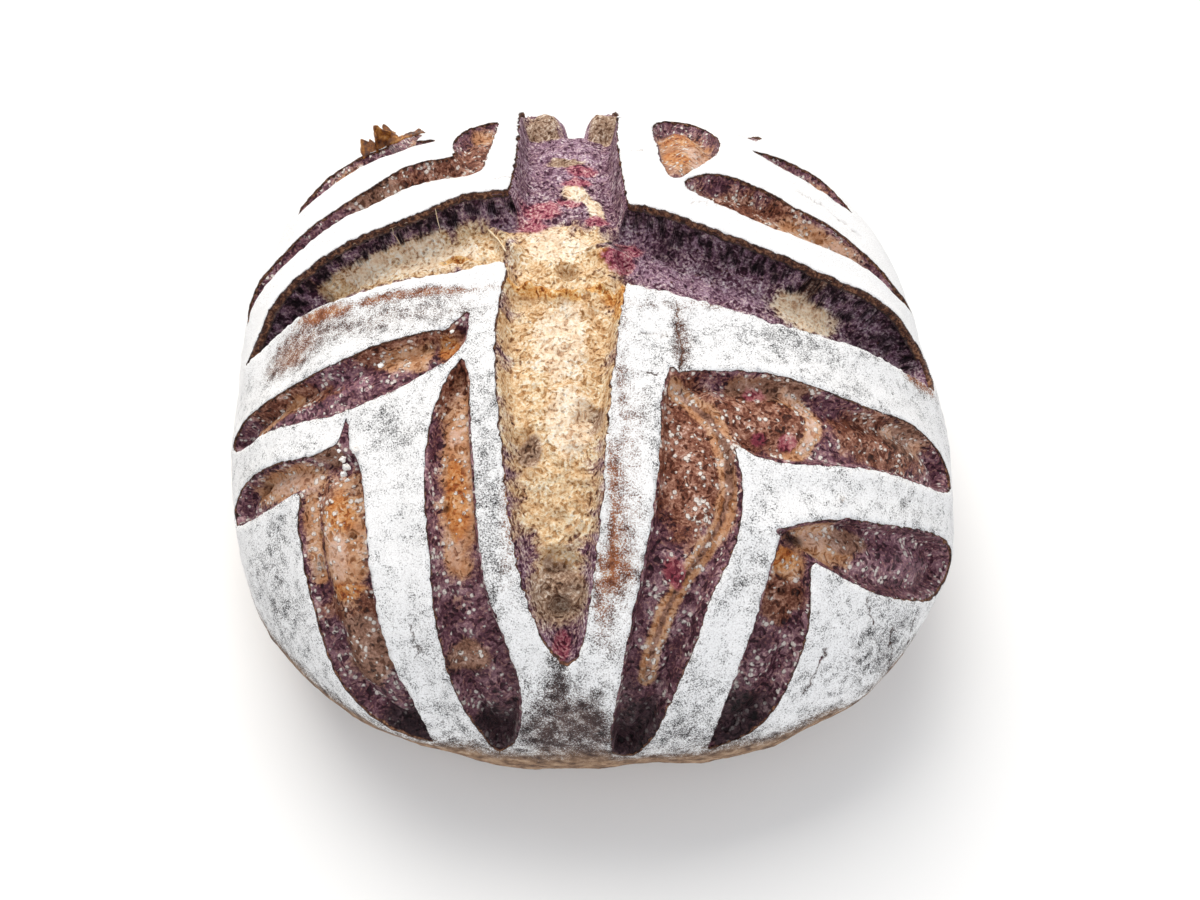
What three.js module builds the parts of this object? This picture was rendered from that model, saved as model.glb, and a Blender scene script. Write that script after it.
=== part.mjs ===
// A round sourdough loaf: one solid of bread, flat underneath, with a domed floured crust.
// The crust was slashed before baking: four wide slashes meet in a cross, and pairs of narrow
// slashes stand beside them. In the oven each slash opened, so the crumb shows at the bottom of it.
//
// Millimetres, +Z up, the origin at the middle of the underside. -Y is the front of the loaf.
// The slashes are laid out on the dome unrolled: (u, v) is the place reached by walking from the
// top of the loaf over the crust, u towards +X and v towards +Y.
import * as THREE from "three";
import { mergeGeometries, mergeVertices } from "three/addons/utils/BufferGeometryUtils.js";

// The loaf as a whole
const RADIUS = 115;
const HEIGHT = 98;
const WIDEST_AT = 35;
const UNDERSIDE_SHARE = 0.78;
const SHOULDER_POWER = 2.3;
const CROWN_POWER = 2.0;

// The outline from above is squarish: [waves round the loaf, cosine share, sine share]
const OUTLINE_WAVES = [
  [2, -0.018, -0.022],
  [3, 0.003, 0.008],
  [4, -0.04, -0.005],
];

// Slow dents and swells of the crust: [height, wave length along u, wave length along v, phase]
const SWELLS = [
  [0.4, 71, -113, 0.6],
  [0.35, -93, -58, 2.1],
  [0.25, 37, 43, 4.0],
];

// Each slash: [u, v, half width] along its middle, the depth of the crumb at its wall, how far the
// crumb rises again in the middle, the width of the wall, the lift of the crust edge, and how much
// deeper the back side is than the front.
const SLASHES = [
  {
    name: "cross_front",
    line: [
      [-5, 8, 17], [-6, -19, 15.5], [-6.3, -45, 13.5], [-6, -68, 11.5], [-5.5, -86, 9],
      [-4, -101, 5], [-3, -107, 0.8],
    ],
    depth: 8, rise: 1.5, wall: 3.5, lip: 0.9, tilt: 0,
  },
  {
    name: "cross_back",
    line: [
      [-4, 8, 17], [-4, 35, 15.5], [-5, 62, 15.5], [-5.5, 92, 17], [-5, 112, 14], [-4, 130, 7],
      [-4, 139, 1],
    ],
    depth: 9, rise: 1, wall: 3.5, lip: 1.2, tilt: 0,
  },
  {
    name: "cross_left",
    line: [
      [-4, 14, 13], [-22, 13.5, 13], [-42, 9, 12.3], [-61, 7, 11.8], [-80, 4.5, 10.8],
      [-94, 0.5, 8], [-105, -5, 4.2], [-112, -9.5, 0.8],
    ],
    depth: 10.5, rise: 0.8, wall: 3, lip: 1.2, tilt: 0.05,
  },
  {
    name: "cross_right",
    line: [
      [-4, 8, 15], [13, 6, 15], [32, 1, 14.4], [52, -4, 13.9], [74, -7.5, 12.5], [92, -9, 11.5],
      [104, -12, 8], [110, -17, 3],
    ],
    depth: 12.5, rise: 0.8, wall: 3.2, lip: 1.2, tilt: 0.05,
  },
  {
    name: "front_left_inner_across",
    line: [
      [-30, -17, 0.8], [-33, -25, 4], [-41, -28, 6], [-51, -31, 7.5], [-63, -34, 7.5],
      [-77, -35.5, 6.5], [-92, -37, 5.5], [-105, -37.5, 5], [-115, -36.5, 2],
    ],
    depth: 4, rise: 1.4, wall: 2.2, lip: 0.7, tilt: 0.2,
  },
  {
    name: "front_left_inner_down",
    line: [
      [-29, -31, 0.6], [-30, -38, 3.5], [-31.2, -50, 5.3], [-31, -63, 6], [-30, -77, 6],
      [-29, -90, 6.6], [-26.5, -103, 8], [-24, -116, 8.6], [-23.5, -128, 5.5], [-25.5, -137, 0.6],
    ],
    depth: 4, rise: 1.6, wall: 2.2, lip: 0.9, tilt: 0,
  },
  {
    name: "front_left_outer_across",
    line: [
      [-62, -55.5, 4.5], [-73, -56, 4.5], [-84, -57.5, 5.5], [-96, -59, 5.7], [-103, -60.5, 4],
    ],
    depth: 4, rise: 1.2, wall: 2.2, lip: 0.7, tilt: 0.2,
  },
  {
    name: "front_left_outer_down",
    line: [
      [-63, -59, 9], [-62.5, -68, 10.4], [-61.5, -78, 10.4], [-60, -91, 10], [-58.5, -104, 9.8],
      [-55, -115, 8.6], [-50.5, -124, 5.6], [-46, -132, 0.8],
    ],
    depth: 4.2, rise: 2, wall: 2.4, lip: 0.7, tilt: 0,
  },
  {
    name: "front_left_nick",
    line: [[-60.5, -43.5, 0.5], [-60.5, -49, 1.9], [-60, -55, 2.4]],
    depth: 2.2, rise: 0.3, wall: 1.6, lip: 0.3, tilt: 0,
  },
  {
    name: "front_right_inner_across",
    line: [
      [24, -34, 1], [30, -38.5, 6.6], [42, -42.5, 10.6], [55, -44, 9.8], [72, -45, 8],
      [90, -45.3, 8], [101, -46.5, 7], [108, -47, 4],
    ],
    depth: 4.2, rise: 1.8, wall: 2.4, lip: 0.7, tilt: 0.2,
  },
  {
    name: "front_right_inner_down",
    line: [
      [21.5, -32.5, 0.6], [24, -42, 5], [27, -52, 8], [27.8, -63, 9.6], [26.3, -75, 9.6],
      [23, -87, 8.4], [20.5, -99, 8.2], [17.5, -112, 7.3], [14.7, -125, 6.2], [13, -135, 4],
    ],
    depth: 4.2, rise: 2, wall: 2.4, lip: 0.9, tilt: 0,
  },
  {
    name: "front_right_outer_across",
    line: [
      [46, -71, 0.8], [54, -71.5, 4], [64, -72.5, 7], [77, -74, 8.6], [90, -74, 9], [101, -73.5, 8],
      [109, -73, 4.5],
    ],
    depth: 5, rise: 1.2, wall: 2.4, lip: 1.1, tilt: 0.3,
  },
  {
    name: "front_right_outer_down",
    line: [
      [50, -73, 4], [49.5, -84, 5.6], [49, -95, 7], [47.5, -106, 7.6], [45.5, -116, 7.2],
      [43, -125, 5.2], [38.5, -133, 0.8],
    ],
    depth: 4, rise: 1.4, wall: 2.2, lip: 0.7, tilt: 0,
  },
  {
    name: "back_left_inner_across",
    line: [
      [-33, 39, 6], [-46, 38, 6], [-58, 34.5, 4.6], [-72, 32, 3.6], [-89, 28, 3.4],
      [-103, 22.5, 3.6], [-112, 17, 2.8], [-116, 10, 0.6],
    ],
    depth: 4, rise: 0.8, wall: 2.2, lip: 1.2, tilt: 0.3,
  },
  {
    name: "back_left_inner_down",
    line: [[-32, 40, 5], [-32, 49, 5], [-32.5, 58, 6], [-31, 66, 4], [-28, 71, 0.8]],
    depth: 4, rise: 1, wall: 2.2, lip: 0.8, tilt: 0,
  },
  {
    name: "back_left_outer_across",
    line: [
      [-46, 62, 1], [-57, 63.5, 5.5], [-68, 61.5, 6.5], [-79, 57, 5.6], [-86, 52, 3.5],
      [-91, 46, 0.6],
    ],
    depth: 4, rise: 0.8, wall: 2.4, lip: 0.7, tilt: 0.2,
  },
  {
    name: "back_left_outer_down",
    line: [[-58, 64, 5], [-57, 80, 6.5], [-54, 98, 7.5], [-49, 116, 6.5], [-43, 131, 0.8]],
    depth: 4, rise: 1.6, wall: 2.2, lip: 0.7, tilt: 0,
  },
  {
    name: "back_left_low",
    line: [[-29, 88, 0.6], [-29, 98, 5], [-27, 112, 6.5], [-25, 126, 5], [-24, 136, 0.8]],
    depth: 4, rise: 1.6, wall: 2.2, lip: 0.9, tilt: 0,
  },
  {
    name: "back_right_inner_across",
    line: [
      [31, 31, 3], [39, 31, 7], [50, 28.5, 7.5], [62, 25.5, 6.6], [76, 23, 6.4], [89, 20, 4.8],
      [102, 17, 3.2], [114, 14.5, 0.8],
    ],
    depth: 4.6, rise: 1.2, wall: 2.4, lip: 0.9, tilt: 0.3,
  },
  {
    name: "back_right_inner_down",
    line: [[26, 36, 2.4], [28, 44, 6], [31, 54, 9], [31.5, 64, 10], [30.5, 74, 8], [29, 82, 3]],
    depth: 4, rise: 2, wall: 2.2, lip: 0.8, tilt: 0,
  },
  {
    name: "back_right_outer_across",
    line: [[52, 59, 0.6], [61, 58, 4], [71, 57.5, 4.8], [80, 54, 4], [88, 48, 0.6]],
    depth: 4, rise: 1, wall: 2.2, lip: 0.7, tilt: 0.2,
  },
  {
    name: "back_right_outer_down",
    line: [[55, 72, 0.8], [54, 82, 5.5], [51, 97, 7.5], [46, 114, 6.5], [40, 130, 0.8]],
    depth: 4, rise: 1.6, wall: 2.2, lip: 0.7, tilt: 0,
  },
  {
    name: "back_right_low",
    line: [[25, 98, 0.6], [25, 107, 5], [23, 119, 6], [20, 136, 0.8]],
    depth: 4, rise: 1.4, wall: 2.2, lip: 0.9, tilt: 0,
  },
];

// Where the four wide slashes meet, the crumb stands higher than in their far ends: the place, the
// depth there, and the distances from it between which it goes over into the depth of each slash
const HEART = { u: -4.5, v: 9, depth: 7, from: 8, to: 25 };

// Ridges on the surface: the torn skin standing in the back left slash, the ridge of crumb across
// the middle of the cross, and the seam of crumb between the two inner slashes at the front right
const RIDGES = [
  { from: [-68, 68], to: [-57, 72], half: 2.8, height: 8 },
  { from: [-20, -5], to: [9, -4], half: 3, height: 2 },
  { from: [31, -38], to: [37, -54], half: 2.4, height: 1.8 },
];

// The two round lumps of crumb where the cross runs over the back: middle, half sizes, height
const LUMPS = [
  { middle: [-15, 101], half: [8.2, 11], height: 9 },
  { middle: [6, 101], half: [6.6, 10], height: 8.6 },
];

// The dome: an arc from the top down to the widest ring, then a tighter one tucked in under it
const PROFILE_STEPS = 400;

function makeProfile() {
  const points = [];
  for (let i = 0; i <= PROFILE_STEPS; i++) {
    const t = (i / PROFILE_STEPS) * (Math.PI / 2);
    const share = Math.sin(t) ** (2 / SHOULDER_POWER);
    const z = WIDEST_AT + (HEIGHT - WIDEST_AT) * Math.cos(t) ** (2 / CROWN_POWER);
    points.push({ share, z });
  }
  for (let i = 1; i <= PROFILE_STEPS; i++) {
    const t = (i / PROFILE_STEPS) * (Math.PI / 2);
    const share = UNDERSIDE_SHARE + (1 - UNDERSIDE_SHARE) * Math.cos(t);
    points.push({ share, z: WIDEST_AT * (1 - Math.sin(t)) });
  }
  points[0].walked = 0;
  for (let i = 1; i < points.length; i++) {
    const a = points[i - 1];
    const b = points[i];
    b.walked = a.walked + Math.hypot((b.share - a.share) * RADIUS, b.z - a.z);
  }
  return points;
}

const PROFILE = makeProfile();
const RIM = PROFILE[PROFILE.length - 1].walked;

// Share of the outline's radius and height, at a distance walked from the top
function profileAt(walked) {
  let low = 0;
  let high = PROFILE.length - 1;
  while (high - low > 1) {
    const middle = (low + high) >> 1;
    if (PROFILE[middle].walked > walked) high = middle;
    else low = middle;
  }
  const a = PROFILE[low];
  const b = PROFILE[high];
  const t = THREE.MathUtils.clamp((walked - a.walked) / (b.walked - a.walked), 0, 1);
  return { share: THREE.MathUtils.lerp(a.share, b.share, t), z: THREE.MathUtils.lerp(a.z, b.z, t) };
}

function outlineRadius(angle) {
  let factor = 1;
  for (const [waves, cosine, sine] of OUTLINE_WAVES) {
    factor += cosine * Math.cos(waves * angle) + sine * Math.sin(waves * angle);
  }
  return RADIUS * factor;
}

function domePoint(u, v) {
  const angle = Math.atan2(v, u);
  const { share, z } = profileAt(Math.hypot(u, v));
  const r = share * outlineRadius(angle);
  return new THREE.Vector3(r * Math.cos(angle), r * Math.sin(angle), z);
}

const NORMAL_STEP = 0.6;

function domeNormal(u, v) {
  const alongU = domePoint(u + NORMAL_STEP, v).sub(domePoint(u - NORMAL_STEP, v));
  const alongV = domePoint(u, v + NORMAL_STEP).sub(domePoint(u, v - NORMAL_STEP));
  return alongU.cross(alongV).normalize();
}

// Each slash as round spots along a smooth line through its middle
const SPOT_SPACING = 1.5;

for (const slash of SLASHES) {
  const curve = new THREE.CatmullRomCurve3(
    slash.line.map(([u, v, half]) => new THREE.Vector3(u, v, half)), false, "catmullrom", 0.5);
  const count = Math.ceil(curve.getLength() / SPOT_SPACING);
  slash.spots = curve.getPoints(count);
}

// Distance from a slash's edge (below 0 inside it), and -1 at its front side to 1 at its back side
function slashDistance(slash, u, v) {
  let distance = Infinity;
  let side = 0;
  for (const spot of slash.spots) {
    const gap = Math.hypot(u - spot.x, v - spot.y) - spot.z;
    if (gap < distance) {
      distance = gap;
      side = (v - spot.y) / Math.max(spot.z, 1);
    }
  }
  return { distance, side };
}

function ridgeHeight(u, v) {
  let height = 0;
  for (const ridge of RIDGES) {
    const du = ridge.to[0] - ridge.from[0];
    const dv = ridge.to[1] - ridge.from[1];
    const along = ((u - ridge.from[0]) * du + (v - ridge.from[1]) * dv) / (du * du + dv * dv);
    const t = THREE.MathUtils.clamp(along, 0, 1);
    const gap = Math.hypot(u - ridge.from[0] - t * du, v - ridge.from[1] - t * dv);
    height += ridge.height * Math.exp(-((gap / ridge.half) ** 2));
  }
  for (const lump of LUMPS) {
    const gap = Math.hypot((u - lump.middle[0]) / lump.half[0], (v - lump.middle[1]) / lump.half[1]);
    height += lump.height * Math.max(1 - gap ** 2, 0) ** 0.6;
  }
  return height;
}

// How far the surface stands out from the plain dome
const LIP_WIDTH = 5;
const FLOOR_START = 3.5;

function relief(u, v) {
  let depth = 0;
  let lip = 0;
  for (const slash of SLASHES) {
    const { distance, side } = slashDistance(slash, u, v);
    const wall = THREE.MathUtils.smoothstep(-distance, 0, slash.wall);
    const middle = THREE.MathUtils.smoothstep(-distance, slash.wall, FLOOR_START * slash.wall);
    const floor = slash.depth * (1 + slash.tilt * side) * wall - slash.rise * middle;
    depth = Math.max(depth, floor);
    lip = Math.max(lip, slash.lip * Math.exp(-((distance / LIP_WIDTH) ** 2)));
  }
  const heart = 1 - THREE.MathUtils.smoothstep(Math.hypot(u - HEART.u, v - HEART.v), HEART.from, HEART.to);
  depth -= heart * Math.max(depth - HEART.depth, 0);
  let swell = 0;
  for (const [height, lengthU, lengthV, phase] of SWELLS) {
    swell += height * Math.sin(2 * Math.PI * (u / lengthU + v / lengthV) + phase);
  }
  return swell + ridgeHeight(u, v) + lip - depth;
}

// The skin is laid out flat first, in (u, v). The top is a hexagon of even triangles bent into
// rings, so that ring k has 6k corners. A band of rows follows down to the underside, which is a fan.
const RINGS = 40;
const AROUND = 6 * RINGS;
const TOP_WALK = 146;
const FOOT_ROWS = 4;
const SLOPE_STEP = 0.3;
const FADE_START = 8;
const FADE_END = 26;

function layFlat(geometry, placeOf) {
  geometry.deleteAttribute("normal");
  geometry.deleteAttribute("uv");
  const position = geometry.attributes.position;
  for (let i = 0; i < position.count; i++) {
    const { walked, turn, level } = placeOf(i);
    position.setXYZ(i, walked * Math.cos(turn), walked * Math.sin(turn), level);
  }
  return geometry.index ? geometry.toNonIndexed() : geometry;
}

function makeTop() {
  const sector = Math.PI / 3;
  const vertices = [0, 0, 1];
  const faces = [];
  for (let i = 0; i < 6; i++) {
    vertices.push(Math.cos(i * sector), Math.sin(i * sector), 0);
    faces.push(0, i + 1, ((i + 1) % 6) + 1);
  }
  const pyramid = new THREE.PolyhedronGeometry(vertices, faces, 1, RINGS - 1);
  const corner = new THREE.Vector3();
  return layFlat(pyramid, (i) => {
    corner.fromBufferAttribute(pyramid.attributes.position, i);
    const turn = (Math.atan2(corner.y, corner.x) + 2 * Math.PI) % (2 * Math.PI);
    const side = Math.floor(turn / sector);
    const offMiddle = turn - (side + 0.5) * sector;
    const outward = Math.hypot(corner.x, corner.y) * Math.cos(offMiddle) / Math.cos(sector / 2);
    const ring = Math.round(RINGS * outward / (outward + corner.z));
    if (ring === 0) return { walked: 0, turn: 0, level: 0 };
    const alongSide = 0.5 + Math.tan(offMiddle) / (2 * Math.tan(sector / 2));
    const step = Math.round((side + alongSide) * ring) % (6 * ring);
    return { walked: TOP_WALK * ring / RINGS, turn: 2 * Math.PI * step / (6 * ring), level: 0 };
  });
}

function makeFoot() {
  const band = new THREE.CylinderGeometry(1, 1, 1, AROUND, FOOT_ROWS, true);
  return layFlat(band, (i) => {
    const row = Math.floor(i / (AROUND + 1));
    const step = (i % (AROUND + 1)) % AROUND;
    const walked = row === 0 ? TOP_WALK : THREE.MathUtils.lerp(TOP_WALK, RIM, row / FOOT_ROWS);
    return { walked, turn: 2 * Math.PI * step / AROUND, level: 0 };
  });
}

function makeUnderside() {
  const disc = new THREE.CircleGeometry(1, AROUND);
  return layFlat(disc, (i) => {
    if (i === 0) return { walked: 0, turn: 0, level: -1 };
    const step = (AROUND - (i - 1)) % AROUND;
    return { walked: RIM, turn: 2 * Math.PI * step / AROUND, level: 0 };
  });
}

function nearestSlash(u, v) {
  let best = { distance: Infinity, wall: 0 };
  for (const slash of SLASHES) {
    const { distance } = slashDistance(slash, u, v);
    if (distance < best.distance) best = { distance, wall: slash.wall };
  }
  return best;
}

// Moves a corner across the slope of the distance until it lies at the wanted distance
function moveOnto(corner, wanted) {
  for (let round = 0; round < 3; round++) {
    const { u, v } = corner;
    const slopeU = nearestSlash(u + SLOPE_STEP, v).distance - nearestSlash(u - SLOPE_STEP, v).distance;
    const slopeV = nearestSlash(u, v + SLOPE_STEP).distance - nearestSlash(u, v - SLOPE_STEP).distance;
    const steep = Math.max(Math.hypot(slopeU, slopeV), SLOPE_STEP);
    const miss = corner.distance - wanted;
    corner.u -= (miss * slopeU) / steep;
    corner.v -= (miss * slopeV) / steep;
    corner.distance = nearestSlash(corner.u, corner.v).distance;
  }
}

// Lets a line, the edge of the slashes or the foot of their walls, run along sides of triangles:
// of each side that crosses it, the nearer end is moved onto it.
function alignCorners(corners, sides, line, levelOf) {
  const crossings = [];
  for (const [a, b] of sides) {
    const missA = corners[a].distance - levelOf(corners[a]);
    const missB = corners[b].distance - levelOf(corners[b]);
    if (missA * missB >= 0) continue;
    const ends = [[Math.abs(missA), a], [Math.abs(missB), b]].filter(([, end]) => corners[end].line === "");
    ends.sort((first, second) => first[0] - second[0]);
    if (ends.length > 0) crossings.push({ a, b, miss: ends[0][0], mover: ends[0][1] });
  }
  crossings.sort((first, second) => first.miss - second.miss);
  for (const { a, b, mover } of crossings) {
    if (corners[a].line === line || corners[b].line === line) continue;
    moveOnto(corners[mover], levelOf(corners[mover]));
    corners[mover].line = line;
  }
}

function cornerPoint({ u, v }) {
  const fade = THREE.MathUtils.smoothstep(RIM - Math.hypot(u, v), FADE_START, FADE_END);
  const point = domePoint(u, v).addScaledVector(domeNormal(u, v), relief(u, v) * fade);
  point.z = Math.max(point.z, 0);
  return point;
}

function triangleSides(index) {
  const sides = [];
  for (let i = 0; i < index.count; i += 3) {
    for (let k = 0; k < 3; k++) {
      const a = index.getX(i + k);
      const b = index.getX(i + ((k + 1) % 3));
      if (a < b) sides.push([a, b]);
    }
  }
  return sides;
}

function makeLoaf() {
  const geometry = mergeVertices(mergeGeometries([makeTop(), makeFoot(), makeUnderside()]), 1e-4);
  const position = geometry.attributes.position;
  const corners = [];
  for (let i = 0; i < position.count; i++) {
    const u = position.getX(i);
    const v = position.getY(i);
    const underside = position.getZ(i) < 0;
    const nearest = underside ? { distance: Infinity, wall: 0 } : nearestSlash(u, v);
    corners.push({ u, v, ...nearest, underside, line: "" });
  }
  const sides = triangleSides(geometry.index);
  alignCorners(corners, sides, "edge", () => 0);
  alignCorners(corners, sides, "foot", (corner) => -corner.wall);
  corners.forEach((corner, i) => {
    const point = corner.underside ? new THREE.Vector3(0, 0, 0) : cornerPoint(corner);
    position.setXYZ(i, point.x, point.y, point.z);
  });
  geometry.computeBoundingBox();
  const middle = geometry.boundingBox.getCenter(new THREE.Vector3());
  geometry.translate(-middle.x, -middle.y, -geometry.boundingBox.min.z);
  geometry.computeVertexNormals();
  return geometry;
}

const crust = new THREE.MeshStandardMaterial({ color: 0xd9d3cd, roughness: 0.9, metalness: 0 });
const loaf = new THREE.Mesh(makeLoaf(), crust);
loaf.name = "loaf";

const part = new THREE.Group();
part.add(loaf);

export default part;
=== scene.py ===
import math

import bmesh
import bpy
import numpy as np
from mathutils import Matrix, Vector, noise


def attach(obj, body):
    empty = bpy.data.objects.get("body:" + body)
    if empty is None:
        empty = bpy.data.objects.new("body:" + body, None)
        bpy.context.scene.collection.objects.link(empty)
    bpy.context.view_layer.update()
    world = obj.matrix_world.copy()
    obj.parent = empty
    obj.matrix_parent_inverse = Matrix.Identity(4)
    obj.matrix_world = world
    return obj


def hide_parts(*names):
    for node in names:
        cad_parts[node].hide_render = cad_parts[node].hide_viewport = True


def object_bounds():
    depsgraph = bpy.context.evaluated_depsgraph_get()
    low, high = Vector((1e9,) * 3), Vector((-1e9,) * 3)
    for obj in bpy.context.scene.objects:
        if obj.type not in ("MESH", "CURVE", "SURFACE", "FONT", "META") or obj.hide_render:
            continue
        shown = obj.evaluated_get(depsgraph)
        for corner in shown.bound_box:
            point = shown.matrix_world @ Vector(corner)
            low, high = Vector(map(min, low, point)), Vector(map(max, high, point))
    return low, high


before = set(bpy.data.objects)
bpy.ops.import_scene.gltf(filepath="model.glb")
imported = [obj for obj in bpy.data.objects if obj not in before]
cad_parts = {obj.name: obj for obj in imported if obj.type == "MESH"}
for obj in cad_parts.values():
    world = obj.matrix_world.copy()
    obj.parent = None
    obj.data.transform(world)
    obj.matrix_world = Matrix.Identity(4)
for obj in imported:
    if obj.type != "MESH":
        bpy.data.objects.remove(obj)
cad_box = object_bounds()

# The room
# A pale matt table top under soft daylight: a wide window behind and above the loaf, a paler one in
# front, and the camera held over the front edge of the table, looking down at 57 degrees.
MM = 0.001
scene = bpy.context.scene
scene.view_settings.view_transform = "Standard"

CAMERA_AT = (4.25 * MM, -178.3 * MM, 281.5 * MM)
CAMERA_DOWN = math.radians(57.0)
LENS = 28.65
SENSOR = 36.0

camera = bpy.data.objects.new("camera", bpy.data.cameras.new("camera"))
camera.data.lens = LENS
camera.data.sensor_width = SENSOR
camera.data.clip_start = 10 * MM
camera.location = CAMERA_AT
camera.rotation_euler = (math.radians(90) - CAMERA_DOWN, 0, 0)
scene.collection.objects.link(camera)
scene.camera = camera


def linear(hex_colour):
    """An sRGB colour, such as "#D9B48C", as the linear values that a shader takes."""
    shares = [int(hex_colour[i:i + 2], 16) / 255 for i in (1, 3, 5)]
    return tuple(s / 12.92 if s <= 0.04045 else ((s + 0.055) / 1.055) ** 2.4 for s in shares) + (1.0,)


def add(tree, kind, inputs, stops=(), **settings):
    """Adds a node. inputs gives each socket a value, or the socket it is joined to; stops are a ramp's."""
    node = tree.nodes.new(kind)
    for name, value in settings.items():
        setattr(node, name, value)
    for socket, value in inputs.items():
        if isinstance(value, bpy.types.NodeSocket):
            tree.links.new(value, node.inputs[socket])
        else:
            node.inputs[socket].default_value = value
    for number, (position, colour) in enumerate(stops):
        if number > 1:
            node.color_ramp.elements.new(position)
        node.color_ramp.elements[number].position = position
        node.color_ramp.elements[number].color = linear(colour)
    return node


def new_material(name):
    """An empty material, its node tree, and where the pattern is read: millimetres on the object."""
    material = bpy.data.materials.new(name)
    material.use_nodes = True
    tree = material.node_tree
    tree.nodes.clear()
    place = add(tree, "ShaderNodeTexCoord", {}).outputs["Object"]
    scaled = add(tree, "ShaderNodeMapping", {"Vector": place, "Scale": (1 / MM,) * 3})
    return material, tree, scaled.outputs["Vector"]


def new_object(name, bm):
    """Turns a bmesh into a smooth object of that name in the scene."""
    mesh = bpy.data.meshes.new(name)
    bm.to_mesh(mesh)
    bm.free()
    mesh.shade_smooth()
    obj = bpy.data.objects.new(name, mesh)
    scene.collection.objects.link(obj)
    return obj


FLOOR_SIZE = 6.0

bm = bmesh.new()
bmesh.ops.create_grid(bm, x_segments=1, y_segments=1, size=FLOOR_SIZE / 2)
floor = new_object("floor", bm)

# Matt paint: pale and even, it takes a soft shadow and mirrors nothing
painted_table, tree, place = new_material("painted_table")
surface = add(tree, "ShaderNodeBsdfPrincipled", {"Base Color": linear("#F1F0EE"), "Roughness": 0.7})
add(tree, "ShaderNodeOutputMaterial", {"Surface": surface.outputs[0]})
floor.data.materials.append(painted_table)

world = bpy.data.worlds.new("pale_room")
world.use_nodes = True
world.node_tree.nodes["Background"].inputs["Color"].default_value = linear("#F4F7FB")
world.node_tree.nodes["Background"].inputs["Strength"].default_value = 0.62
scene.world = world

# Each light: its place and the size of its panel in metres, its power in watts, and its colour
LIGHTS = [
    ("window", (-0.25, 0.75, 1.15), 1.0, 17.0, "#FFFBF5"),
    ("front_fill", (0.35, -0.9, 0.9), 1.2, 6.0, "#F3F7FF"),
]
LIGHTS_AIM_AT = (0, 0, 0.04)
for name, at, size, power, colour in LIGHTS:
    light = bpy.data.lights.new(name, "AREA")
    light.size = size
    light.energy = power
    light.color = linear(colour)[:3]
    lamp = bpy.data.objects.new(name, light)
    lamp.location = at
    aim = np.array(at) - LIGHTS_AIM_AT
    lamp.rotation_euler = (math.acos(aim[2] / np.linalg.norm(aim)), 0, math.atan2(aim[0], -aim[1]))
    scene.collection.objects.link(lamp)

# The crumb
# Purple sweet potato dough folded with plain dough, so golden and purple marble through each other.
# It is one solid under the crust. Where a slash opened, it tore into a web of cells or, in the
# narrow cuts, baked to a thin shining skin.
RADIUS = 115.0
HEIGHT = 98.0
WIDEST_AT = 35.0
UNDERSIDE_SHARE = 0.78
SHOULDER_POWER = 2.3
CROWN_POWER = 2.0
CENTRE = np.array((0.45, -0.43, 0.0))

# Waves in the outline: how many go round it, and their cosine and sine shares of the radius
OUTLINE_WAVES = [(2, -0.018, -0.022), (3, 0.003, 0.008), (4, -0.04, -0.005)]

# Broad swells of the dome: height, length along u and along v, and where each wave starts
SWELLS = [(0.4, 71, -113, 0.6), (0.35, -93, -58, 2.1), (0.25, 37, 43, 4.0)]

# Each slash: u, v and half width in millimetres along its middle, on the dome unrolled from its top.
# Then the depth at the wall, the rise of the middle, the width of the wall, the lift of the crust,
# how much deeper the back side is, and the thickness of crust that shows at the edge.
CROSS = [
    dict(line=[(-5, 8, 17), (-6, -19, 15.5), (-6.3, -45, 13.5), (-6, -68, 11.5), (-5.5, -86, 9),
               (-4, -101, 5), (-3, -107, 0.8)],
         depth=8, rise=1.5, wall=3.5, lip=0.9, tilt=0, edge=2.4),
    dict(line=[(-4, 8, 17), (-4, 35, 15.5), (-5, 62, 15.5), (-5.5, 92, 17), (-5, 112, 14),
               (-4, 130, 7), (-4, 139, 1)],
         depth=9, rise=1, wall=3.5, lip=1.2, tilt=0, edge=2.6),
    dict(line=[(-4, 14, 13), (-22, 13.5, 13), (-42, 9, 12.3), (-61, 7, 11.8), (-80, 4.5, 10.8),
               (-94, 0.5, 8), (-105, -5, 4.2), (-112, -9.5, 0.8)],
         depth=10.5, rise=0.8, wall=3, lip=1.2, tilt=0.05, edge=2.8),
    dict(line=[(-4, 8, 15), (13, 6, 15), (32, 1, 14.4), (52, -4, 13.9), (74, -7.5, 12.5),
               (92, -9, 11.5), (104, -12, 8), (110, -17, 3)],
         depth=12.5, rise=0.8, wall=3.2, lip=1.2, tilt=0.05, edge=2.8),
]

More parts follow.
